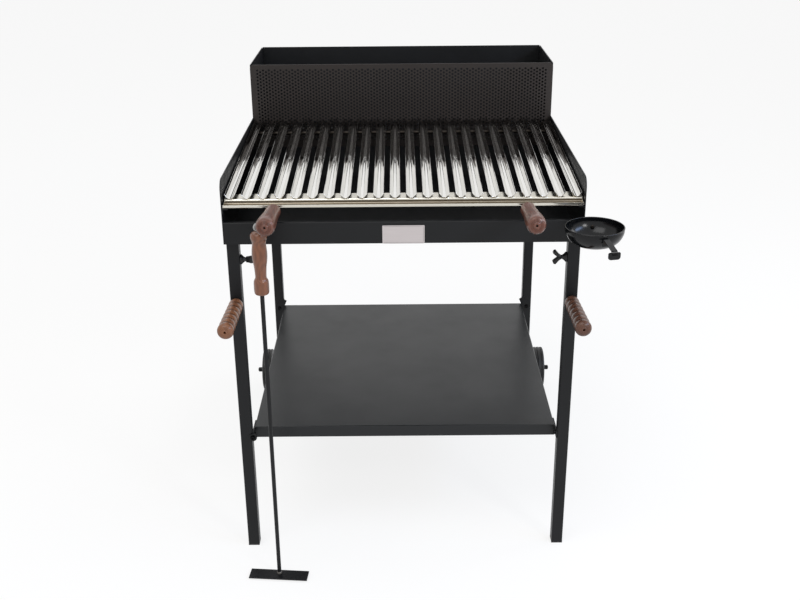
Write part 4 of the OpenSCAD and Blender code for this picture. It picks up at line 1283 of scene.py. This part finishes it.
@dataclass
class Wheels(Assembly):
    """Two moulded wheels on a steel axle."""

    radius: float = 60.0
    tread_wall: float = 12.0
    web: float = 6.0
    hub_radius: float = 17.0
    hub_length: float = 46.0
    bore: float = 5.05
    width: float = 26.0
    spokes: int = 6
    spoke_wall: float = 3.0
    spoke_depth: float = 6.0

    def wheel(self) -> Work:
        """Mould the right wheel, its axis on z and its outer face at the hub's length."""
        out = self.hub_length
        start = out - self.width
        r = self.radius
        rim = r - self.tread_wall
        near = start + (self.width - self.web) / 2
        far = near + self.web
        hub = self.hub_radius
        profile = [(0.0, self.bore), (0.0, hub - 1.5), (0.4, hub - 0.4), (1.5, hub),
                   (near - 2.0, hub), (near - 0.6, hub + 0.6), (near, hub + 2.0),
                   (near, rim - 2.0), (near - 0.6, rim - 0.6), (near - 2.0, rim),
                   (start + 1.5, rim), (start + 0.4, rim + 0.4), (start, rim + 1.5),
                   (start, r - 3.0), (start + 0.9, r - 0.9), (start + 3.0, r)]
        for share in (0.3, 0.7):
            mid = start + self.width * share
            profile += [(mid - 1.9, r), (mid - 1.3, r - 1.0), (mid - 1.0, r - 2.0),
                        (mid + 1.0, r - 2.0), (mid + 1.3, r - 1.0), (mid + 1.9, r)]
        profile += [(out - 3.0, r), (out - 0.9, r - 0.9), (out, r - 3.0), (out, rim + 1.5),
                    (out - 0.4, rim + 0.4), (out - 1.5, rim), (far + 2.0, rim),
                    (far + 0.6, rim - 0.6), (far, rim - 2.0), (far, hub + 2.0),
                    (far + 0.6, hub + 0.6), (far + 2.0, hub), (out - 1.5, hub),
                    (out - 0.4, hub - 0.4), (out, hub - 1.5), (out, self.bore),
                    (0.0, self.bore)]
        work = turned("wheel", profile, 72)
        half = self.spoke_wall / 2
        spoke = Work.block("spoke", (hub - 1, -half, near - self.spoke_depth),
                           (rim + 1, half, far + self.spoke_depth))
        spoke.soften(0.6, 2)
        spoke.everything().spin((0, 0, 0), (0, 0, 1), self.spokes, copies=True)
        spoke.heal()
        return work.join(spoke)

    def build(self) -> None:
        """Build the wheels, the axle, its brackets and caps."""
        wheel = self.wheel()
        low, high = cad_box("right_wheel")
        mid = (low + high) / 2
        right = Matrix.Translation((low.x, mid.y, mid.z)) @ Matrix.Rotation(
            math.radians(90), 4, "Y")
        left = Matrix.Diagonal((-1, 1, 1, 1)) @ right
        for side, place, body in (("left", left, Body.LEFT_WHEEL),
                                  ("right", right, Body.RIGHT_WHEEL)):
            made = wheel.copy(f"{side}_wheel_moulded", place).smooth(42)
            fit(made, self.finishes.wheel_plastic, Slot.WHEEL_PLASTIC, body, f"{side}_wheel")
        bpy.data.objects.remove(wheel.thing)
        self.dressed_copy("axle", Slot.ZINC, Body.FRAME, 0.5)
        self.dressed_copy("left_axle_bracket", Slot.BLACK_PAINT, Body.FRAME, 0.4)
        self.dressed_copy("right_axle_bracket", Slot.BLACK_PAINT, Body.FRAME, 0.4)
        self.dressed_copy("axle_bracket_screws", Slot.ZINC, Body.FRAME, 0.0)
        self.dressed_copy("axle_caps", Slot.PLASTIC, Body.FRAME, 0.0)


# Handles


@dataclass
class LegHandles(Assembly):
    """The two ribbed wooden handles on the front legs."""

    # The middle of a handle's rear end on the right front leg, and its length
    foot: tuple[float, float, float] = (346.5, -317.0651, 601.0)
    gap: float = 1.0
    length: float = 162.0
    tilt: float = 3.0
    rear_radius: float = 15.0
    front_radius: float = 16.5
    ribs: int = 7
    rise: float = 2.0
    hole_radius: float = 2.3
    hole_depth: float = 11.5
    boss_radius: float = 5.0

    def rib_radius(self, t: float) -> float:
        """Give the radius at t ribs from the rear end."""
        swell = (self.front_radius - self.rear_radius) * t / self.ribs
        return self.rear_radius + swell - self.rise * (1 - abs(math.sin(math.pi * t)))

    def profile(self, length: float) -> list[tuple[float, float]]:
        """Draw the ribs, the domed front and the drilled hole.

        Args:
            length: The handle's length in millimetres.

        Returns:
            Distance from the rear end and radius.
        """
        rib = length / self.ribs
        points = [(0.0, 0.0), (0.0, self.rear_radius - 4), (0.6, self.rear_radius - 3)]
        steps = 12
        for k in range(2, int((self.ribs - 0.5) * steps) + 1):
            points.append((k / steps * rib, self.rib_radius(k / steps)))
        full = self.rib_radius(self.ribs - 0.5)
        dome = rib / 2 - 0.6
        for degrees in range(8, 89, 8):
            a = math.radians(degrees)
            reach = self.boss_radius + 0.8 + (full - self.boss_radius - 0.8) * math.cos(a)
            # Two fine tool marks run round the dome
            mark = 0.25 if degrees in (40, 64) else 0.0
            points.append(((self.ribs - 0.5) * rib + dome * math.sin(a) - mark, reach))
        face = length
        points += [(face - 0.65, self.boss_radius + 0.4), (face - 0.2, self.boss_radius),
                   (face, self.boss_radius - 0.6), (face, self.hole_radius + 0.5),
                   (face - 0.5, self.hole_radius), (face - self.hole_depth, self.hole_radius),
                   (face - self.hole_depth, 0.0)]
        return points

    def build(self) -> None:
        """Turn both handles and carry their studs over."""
        handle = turned("leg_handle", self.profile(self.length), 72)
        turn = math.radians(90 - self.tilt)
        # The right handle's wood is painted darker and the left one's lighter: painted shade and
        # painted light on two copies of one wood
        for side, sign, dark, light in (("left", -1, "#543322", "#9d6a4a"),
                                        ("right", 1, "#3a251b", "#6e4837")):
            x, y, z = self.foot
            place = (Matrix.Translation((sign * x, y, z)) @ Matrix.Rotation(turn, 4, "X")
                     @ Matrix.Translation((0, 0, self.gap)))
            made = handle.copy(f"{side}_leg_handle_turned", place).smooth(50)
            wood = VarnishedBeech(
                f"varnished_beech_{side}_leg_handle", tuple(place @ Vector((3, -2, 80))),
                (turn, 0, 0), dark=dark, light=light,
                groove_mm=self.length / self.ribs, groove_start=80.0, groove_end=66.0,
                varnish=0.45).make()
            fit(made, wood, Slot.WOOD, Body.FRAME, f"{side}_leg_handle")
        bpy.data.objects.remove(handle.thing)
        self.dressed_copy("leg_handle_studs", Slot.ZINC, Body.FRAME, 0.0)


@dataclass
class Grill(Assembly):
    """The lift-off grill: channel bars, gutter, cross rod and two turned handles."""

    slope: float = 3.4
    front: tuple[float, float] = (-320.0651, 837.5)
    bar_length: float = 511.9
    bar_count: int = 22
    bar_step: float = 32.8
    bar_width: float = 21.6
    bar_floor: float = 8.0
    bar_depth: float = 10.0
    bar_wall: float = 1.5
    bar_bend: float = 3.4
    flange: float = 31.0
    trough: float = 22.5
    trough_drop: float = 10.5
    lip: float = 7.0
    half: float = 356.0
    left_handle_x: float = -255.0
    right_handle_x: float = 244.0
    handle_length: float = 156.0
    handle_radius: float = 18.5
    handle_rear: float = 15.0
    handle_rise: float = 6.0
    handle_drop: float = 2.838
    hole_radius: float = 2.3

    def frame_matrix(self) -> Matrix:
        """Give the placement of the sloping grill."""
        return Matrix.Translation((0, *self.front)) @ Matrix.Rotation(
            math.radians(self.slope), 4, "X")

    def bars(self) -> None:
        """Fold one channel bar and set its copies side by side."""
        half = self.bar_width / 2
        foot = self.bar_floor / 2
        first = -(self.bar_count - 1) / 2 * self.bar_step
        section = [(first - half, 0, 0), (first - foot, 0, -self.bar_depth),
                   (first + foot, 0, -self.bar_depth), (first + half, 0, 0)]
        work = folded("grill_bars_folded", section, (0, self.bar_length, 0), self.bar_wall,
                      self.bar_bend, self.inside_of_bar())
        work.modify("ARRAY", count=self.bar_count, use_relative_offset=False,
                    use_constant_offset=True,
                    constant_offset_displace=metres(self.bar_step, 0, 0))
        work.move(self.frame_matrix()).polish()
        fit(work, self.finishes.bar_steel, Slot.STAINLESS, Body.GRILL, "grill_bars")

    def inside_of_bar(self) -> float:
        """Tell on which side of the drawn section the wall is added."""
        return -1.0

    def gutter(self) -> None:
        """Fold the grease gutter and close its ends."""
        t = self.bar_wall
        top = -self.bar_depth - t / 2
        low = -self.bar_depth - self.trough_drop + t / 2
        lip_y = -self.trough - t / 2
        section = [(-self.half, self.flange, top), (-self.half, t / 2, top),
                   (-self.half, t / 2, low), (-self.half, lip_y, low),
                   (-self.half, lip_y, low - t / 2 + self.lip)]
        work = folded("grease_gutter_folded", section, (2 * self.half, 0, 0), t, 3.0)
        ends = []
        for x in (-self.half, self.half - t):
            bottom = low - t / 2
            outline = [(t, bottom + self.lip), (t, bottom)]
            outline += arc((lip_y - t / 2 + 3.0, bottom + 3.0), 3.0, 270, 180, 5)
            outline += arc((lip_y - t / 2 + 1.5, bottom + self.lip - 1.5), 1.5, 180, 90, 3)
            end = Work.line("gutter_end", [(x, y, z) for y, z in outline], closed=True)
            end.everything().extrude(t, 0, 0)
            end.heal()
            ends.append(end.soften(0.3, 2))
        work.join(*ends)
        work.move(self.frame_matrix()).polish()
        fit(work, self.finishes.gutter_steel, Slot.STAINLESS, Body.GRILL, "grease_gutter")
        # Painted shade: the trough from its rear wall to the lip gets a darker, browner steel for
        # the shade inside it
        work.thing.data.materials.append(self.finishes.trough_shade_steel)
        back = self.frame_matrix().inverted()
        for face in work.thing.data.polygons:
            at = back @ (face.center * 1000)
            if lip_y < at.y < t and low - 0.1 < at.z < top - 2.6 and abs(at.x) < self.half - t:
                face.material_index = 1

    def handle_profile(self) -> list[tuple[float, float]]:
        """Draw the turned handle from its rounded rear end to its drilled front face."""
        length = self.handle_length
        rear = self.handle_rear
        big = self.handle_radius
        swell = [(0.0, rear - 6), (4.0, rear - 2.5), (10.0, rear - 0.5), (18.0, rear),
                 (length * 0.3, rear), (length * 0.55, rear * 0.6 + big * 0.4),
                 (length * 0.76, big - 0.3), (length * 0.88, big), (length * 0.94, big - 0.9),
                 (length * 0.968, big - 2.2), (length - 2.6, big - 3.9)]
        points = [(0.0, 0.0)] + flowing(swell, 5)
        # A low step, tool marks on the shallow dome, then a raised ring round the hole
        points += [(length - 2.3, big - 4.6), (length - 1.9, big - 5.4)]
        for radius in (11.4, 9.6, 7.8):
            points += [(length - 0.65 - radius * 0.07, radius + 0.4),
                       (length - 1.15 - radius * 0.07, radius),
                       (length - 0.6 - radius * 0.07, radius - 0.4)]
        points += [(length - 1.2, 6.9), (length - 0.2, 6.2), (length, 5.4),
                   (length, self.hole_radius + 1.4), (length - 0.5, self.hole_radius),
                   (length - 11.0, self.hole_radius), (length - 11.0, 0.0)]
        return points

    def handles(self) -> None:
        """Turn the two handles and set them on the gutter's lip."""
        handle = turned("grill_handle", self.handle_profile(), 80)
        foot = Matrix.Translation((0, -self.trough - self.bar_wall,
                                   -self.bar_depth - self.trough_drop - self.handle_drop))
        tilt = Matrix.Rotation(math.radians(90 - self.handle_rise - self.slope), 4, "X")
        for side, x in (("left", self.left_handle_x), ("right", self.right_handle_x)):
            place = (Matrix.Translation((x, 0, 0)) @ self.frame_matrix() @ foot @ tilt
                     @ Matrix.Translation((0, 0, 3)))
            made = handle.copy(f"{side}_grill_handle_turned", place).smooth(50)
            centre = place @ Vector((2.5, -2.0, 0))
            wood = VarnishedBeech(
                f"varnished_beech_{side}_grill_handle", tuple(centre),
                (math.radians(90 - self.handle_rise), 0, 0)).make()
            fit(made, wood, Slot.WOOD, Body.GRILL, f"{side}_grill_handle")
        bpy.data.objects.remove(handle.thing)

    def build(self) -> None:
        """Build the grill."""
        self.bars()
        self.gutter()
        self.handles()
        rod = self.dressed_copy("grill_cross_rod", Slot.STAINLESS, Body.GRILL, 0.6)
        rod.thing.data.materials[0] = self.finishes.dark_steel
        self.dressed_copy("grill_handle_rods", Slot.ZINC, Body.GRILL, 0.4)


# Rake and pan


@dataclass
class Rake(Assembly):
    """The ember rake on its bent hook."""

    radius: float = 16.0
    hook_wire: float = 6.0
    hook_bend: float = 7.0
    bead: float = 2.4

    def handle(self) -> None:
        """Turn the handle: a knob, a slim belly and a flared foot."""
        low, high = cad_box("rake_handle")
        length = high.z - low.z
        shares = [(0.0, 0.36), (1.5, 0.42), (5.0, 0.455), (12.0, 0.465), (24.0, 0.46),
                  (29.0, 0.43), (33.0, 0.365), (length * 0.3, 0.345), (length * 0.44, 0.375),
                  (length * 0.53, 0.43), (length * 0.62, 0.467), (length * 0.7, 0.462),
                  (length * 0.78, 0.428), (length * 0.82, 0.412), (length * 0.86, 0.433),
                  (length * 0.905, 0.49), (length * 0.94, 0.5), (length * 0.97, 0.48),
                  (length * 0.99, 0.42), (length, 0.3)]
        curve = flowing([(at, share * 2 * self.radius) for at, share in shares], 4)
        mid = (low + high) / 2
        work = turned("rake_handle_turned", [(0.0, 0.0), *curve, (length, 0.0)], 64)
        work.move(Matrix.Translation((mid.x, mid.y, low.z))).smooth(50)
        wood = VarnishedBeech(
            "varnished_beech_rake_handle", (mid.x + 3, mid.y - 3, mid.z), (0, 0, 0),
            dark="#4c2b1a", light="#8f5839").make()
        fit(work, wood, Slot.WOOD, Body.RAKE, "rake_handle")

    def hook(self) -> None:
        """Bend the hook from one bar: up the panel, forward and up at the tip."""
        low, high = cad_box("rake_hook")
        x = (low.x + high.x) / 2
        r = self.hook_wire / 2
        bend = self.hook_bend
        wall = high.y - r
        tip = low.y + r
        level = cad_box("rake_eye")[1].z - 4 - 0.3 - r
        work = Work.ring("rake_hook_bent", (x, wall, low.z), r, 24)
        work.everything()
        bpy.ops.mesh.edge_face_add()
        work.extrude(0, 0, level - bend - low.z)
        work.spin((x, wall - bend, level - bend), (1, 0, 0), 10, 90)
        work.extrude(0, tip + bend - (wall - bend), 0)
        work.spin((x, tip + bend, level + bend), (-1, 0, 0), 10, 90)
        work.extrude(0, 0, high.z - level - bend - 0.05)
        work.heal()
        work.soften(0.8, 2, 60).smooth(40)
        fit(work, self.finishes.black_paint, Slot.BLACK_PAINT, Body.FRAME, "rake_hook")

    def weld(self) -> None:
        """Lay the weld bead between the rod and the blade."""
        low, high = cad_box("rake_rod")
        mid = (low + high) / 2
        r = (high.x - low.x) / 2
        profile = [(0.0, r - 0.5), (0.0, r + self.bead), (0.9, r + self.bead * 0.9),
                   (2.2, r + self.bead * 0.6), (3.6, r + self.bead * 0.2), (4.4, r - 0.5),
                   (0.0, r - 0.5)]
        work = turned("rake_weld_bead", profile, 32)
        # The welder's weave leaves one lump on every fourth step round the rod
        work.choose(Pick.VERTS, lambda at, _: at.xy.length > r and abs(
            (math.degrees(math.atan2(at.y, at.x)) + 382) % 45 - 22) < 8)
        bpy.ops.transform.resize(value=(0.93, 0.93, 1.0), center_override=(0, 0, 0))
        work.move(Matrix.Translation((mid.x, mid.y, low.z))).smooth(60)
        fit(work, self.finishes.weld, Slot.BLACK_PAINT, Body.RAKE)

    def build(self) -> None:
        """Build the rake and its hook."""
        self.handle()
        self.hook()
        self.weld()
        self.dressed_copy("rake_rod", Slot.BLACK_PAINT, Body.RAKE, 0.4)
        self.dressed_copy("rake_blade", Slot.BLACK_PAINT, Body.RAKE, 0.8)
        self.dressed_copy("rake_eye", Slot.ZINC, Body.RAKE, 0.0)


@dataclass
class Pan(Assembly):
    """The enamelled grease pan that hooks over its bracket."""

    wall: float = 1.5
    floor_radius: float = 22.0
    bead: float = 1.3
    strap_turn: float = 11.0
    strap_width: float = 12.0
    strap_wall: float = 2.0
    strap_run: float = 45.0
    tab_width: float = 24.0
    tab_length: float = 17.0
    bend: float = 3.0

    def bowl(self) -> None:
        """Press the bowl and roll its rim."""
        low, high = cad_box("pan_bowl")
        mid = (low + high) / 2
        depth = high.z - low.z
        rim = (high.x - low.x) / 2
        t = self.wall

        def wall_curve(floor: float, top: float, base: float, edge: float,
                       ) -> list[tuple[float, float]]:
            """Draw a quarter oval from the floor to the rim."""
            turns = [math.radians(90 * k / 14) for k in range(15)]
            return [(base + (1 - math.cos(a)) * (edge - base), floor + math.sin(a) * (top - floor))
                    for a in turns]

        b = self.bead
        inner = wall_curve(self.floor_radius - t, rim - t, t, depth - b)[:-1]
        outer = wall_curve(self.floor_radius, rim - 0.2, 0.0, depth - 2 * b)[:-1]
        roll = [(z, r) for r, z in arc((rim - b, depth - b), b, 170, -80, 10)]
        profile = [(t, 0.0), *inner, *roll, *reversed(outer), (0.0, 0.0)]
        work = turned("pan_bowl_pressed", profile, 96)
        work.move(Matrix.Translation((mid.x, mid.y, low.z))).smooth(50)
        fit(work, self.finishes.enamel, Slot.PAN_ENAMEL, Body.PAN, "pan_bowl")

    def strap(self) -> None:
        """Bend the strap handle and its wider tab."""
        low, high = cad_box("pan_bowl")
        mid = (low + high) / 2
        rim = (high.x - low.x) / 2
        t = self.strap_wall
        near = rim + 0.1 + t / 2
        far = rim + self.strap_run + t / 2
        top = high.z - 5.0
        end = top - 9.0
        half = self.strap_width / 2
        section = [(-half, -near, top - 16), (-half, -near, top - t / 2),
                   (-half, -far, end - t / 2), (-half, -far, end - 9)]
        work = folded("pan_strap_bent", section, (2 * half, 0, 0), t, self.bend)
        wide = self.tab_width / 2
        tab = Work.block("pan_tab", (-wide, -far - t / 2, end - self.tab_length),
                         (wide, -far + t / 2, end - 2.5))
        tab.choose(Pick.EDGES, lambda at, way: abs(way.y) > 0.9 and at.z < end - 10)
        tab.round(5.5, 5)
        tab.choose(Pick.EDGES, lambda at, way: abs(way.y) > 0.9 and at.z > end - 10)
        tab.round(3.0, 4)
        tab.soften(0.4, 2)
        work.join(tab)
        place = Matrix.Translation((mid.x, mid.y, 0)) @ Matrix.Rotation(
            math.radians(self.strap_turn), 4, "Z")
        work.move(place).polish()
        fit(work, self.finishes.enamel, Slot.PAN_ENAMEL, Body.PAN, "pan_strap")

    def hook(self) -> None:
        """Bend the hook behind the pan."""
        low, high = cad_box("pan_hook")
        t = self.strap_wall
        section = [(low.x, low.y + t / 2, low.z), (low.x, low.y + t / 2, high.z - t / 2),
                   (low.x, high.y - t / 2, high.z - t / 2), (low.x, high.y - t / 2, low.z + t)]
        work = folded("pan_hook_bent", section, (high.x - low.x, 0, 0), t, 1.6)
        fit(work.polish(), self.finishes.enamel, Slot.PAN_ENAMEL, Body.PAN, "pan_hook")

    def build(self) -> None:
        """Build the pan and its bracket."""
        self.bowl()
        self.strap()
        self.hook()
        rivets = Work.from_node("pan_rivets", "pan_rivets_finished")
        rivets.soften(0.3, 2).polish()
        fit(rivets, self.finishes.dark_steel, Slot.ZINC, Body.PAN, "pan_rivets")
        self.dressed_copy("pan_bracket", Slot.BLACK_PAINT, Body.FRAME, 0.4)


# The studio


@dataclass
class Studio:
    """A white floor, a pale room, soft lamps and the camera."""

    pitch: float = 22.94
    roll: float = -0.46
    eye: tuple[float, float, float] = (-0.008, -2.33707, 1.462)
    lens_px: float = 1060.3
    frame_px: float = 800.0
    room: float = 0.60
    floor_side: float = 60.0

    def camera(self) -> None:
        """Set the camera at the photograph's angle."""
        pitch = math.radians(self.pitch)
        roll = math.radians(self.roll)
        forward = Vector((0, math.cos(pitch), -math.sin(pitch)))
        side = Vector((1, 0, 0))
        above = side.cross(forward)
        right = math.cos(roll) * side + math.sin(roll) * above
        up = math.cos(roll) * above - math.sin(roll) * side
        place = Matrix((right, up, -forward)).transposed().to_4x4()
        place.translation = Vector(self.eye)
        data = bpy.data.cameras.new("camera")
        data.sensor_width = 36.0
        data.lens = self.lens_px * data.sensor_width / self.frame_px
        camera = bpy.data.objects.new("camera", data)
        bpy.context.scene.collection.objects.link(camera)
        camera.matrix_world = place
        bpy.context.scene.camera = camera

    def white_for_seen_rays(self, tree: bpy.types.NodeTree) -> bpy.types.NodeSocket:
        """Give 1 for rays from the camera and in mirrors and glass, and 0 for the rest.

        Args:
            tree: The node tree that asks.

        Returns:
            The output that holds the value.
        """
        path = add_node(tree, "ShaderNodeLightPath")
        first = add_node(tree, "ShaderNodeMath", {
            0: path.outputs["Is Camera Ray"], 1: path.outputs["Is Glossy Ray"]},
            operation="MAXIMUM")
        both = add_node(tree, "ShaderNodeMath", {
            0: first.outputs["Value"], 1: path.outputs["Is Transmission Ray"]},
            operation="MAXIMUM")
        return both.outputs["Value"]

    def light_room(self) -> None:
        """Fill the world with pale light that is white only where it is seen."""
        world = bpy.data.worlds.new("pale_room")
        world.use_nodes = True
        bpy.context.scene.world = world
        tree = world.node_tree
        seen = self.white_for_seen_rays(tree)
        strength = add_node(tree, "ShaderNodeMapRange", {
            "Value": seen, "To Min": self.room, "To Max": 1.0})
        back = tree.nodes["Background"]
        back.inputs["Color"].default_value = linear("#ffffff")
        tree.links.new(strength.outputs["Result"], back.inputs["Strength"])

    def lamp(self, name: str, at: tuple[float, float, float], size: tuple[float, float],
             watts: float, colour: str = "#ffffff") -> None:
        """Hang a lamp that faces the barbecue.

        Args:
            name: The lamp's name.
            at: Its place in metres.
            size: Its width and height in metres.
            watts: Its power.
            colour: Its colour as #rrggbb.
        """
        data = bpy.data.lights.new(name, "AREA")
        data.shape = "RECTANGLE"
        data.size, data.size_y = size
        data.energy = watts
        data.color = linear(colour)[:3]
        lamp = bpy.data.objects.new(name, data)
        bpy.context.scene.collection.objects.link(lamp)
        lamp.location = at
        aim = Vector((0, 0, 0.7)) - Vector(at)
        lamp.rotation_euler = aim.to_track_quat("-Z", "Y").to_euler()

    def floor(self) -> None:
        """Lay the white floor, which keeps a soft shadow."""
        Work.clear()
        bpy.ops.mesh.primitive_plane_add(size=self.floor_side, location=(0, 0, 0))
        plane = bpy.context.object
        plane.name = "studio_floor"
        material = bpy.data.materials.new("white_floor")
        material.use_nodes = True
        tree = material.node_tree
        tree.nodes.remove(tree.nodes["Principled BSDF"])
        seen = self.white_for_seen_rays(tree)
        glow = add_node(tree, "ShaderNodeEmission", {
            "Color": linear("#ffffff"), "Strength": 0.80})
        pale = add_node(tree, "ShaderNodeBsdfDiffuse", {"Color": linear("#808080")})
        plain = add_node(tree, "ShaderNodeBsdfDiffuse", {"Color": linear("#e8e8e8")})
        shown = add_node(tree, "ShaderNodeAddShader", {
            0: glow.outputs["Emission"], 1: pale.outputs["BSDF"]})
        mixed = add_node(tree, "ShaderNodeMixShader", {
            0: seen, 1: plain.outputs["BSDF"], 2: shown.outputs["Shader"]})
        tree.links.new(mixed.outputs["Shader"], tree.nodes["Material Output"].inputs["Surface"])
        plane.data.materials.append(material)

    def build(self) -> None:
        """Set up the studio."""
        self.camera()
        self.light_room()
        self.floor()
        self.lamp("key_softbox", (-1.4, -2.2, 5.0), (3.0, 3.0), 80.0)
        self.lamp("small_softbox", (2.0, -2.8, 2.45), (0.7, 0.7), 26.0)
        self.lamp("side_softbox", (1.85, -0.85, 1.9), (1.1, 0.4), 14.0, "#b4d0ff")
        self.lamp("rear_softbox", (2.6, 0.4, 1.9), (0.8, 0.8), 8.0)
        bpy.context.scene.view_settings.view_transform = "Standard"


def main() -> None:
    """Build the studio, then the barbecue from the box outwards."""
    logging.basicConfig(level=logging.INFO, format="%(name)s: %(message)s")
    Studio().build()
    finishes = Finishes()
    finishes.coat_nodes()
    for assembly in (Firebox, Nameplate, Legs, Shelf, Wheels, LegHandles, Grill, Rake, Pan):
        assembly(finishes).build()
    Work.clear()


if __name__ == "__main__":
    main()
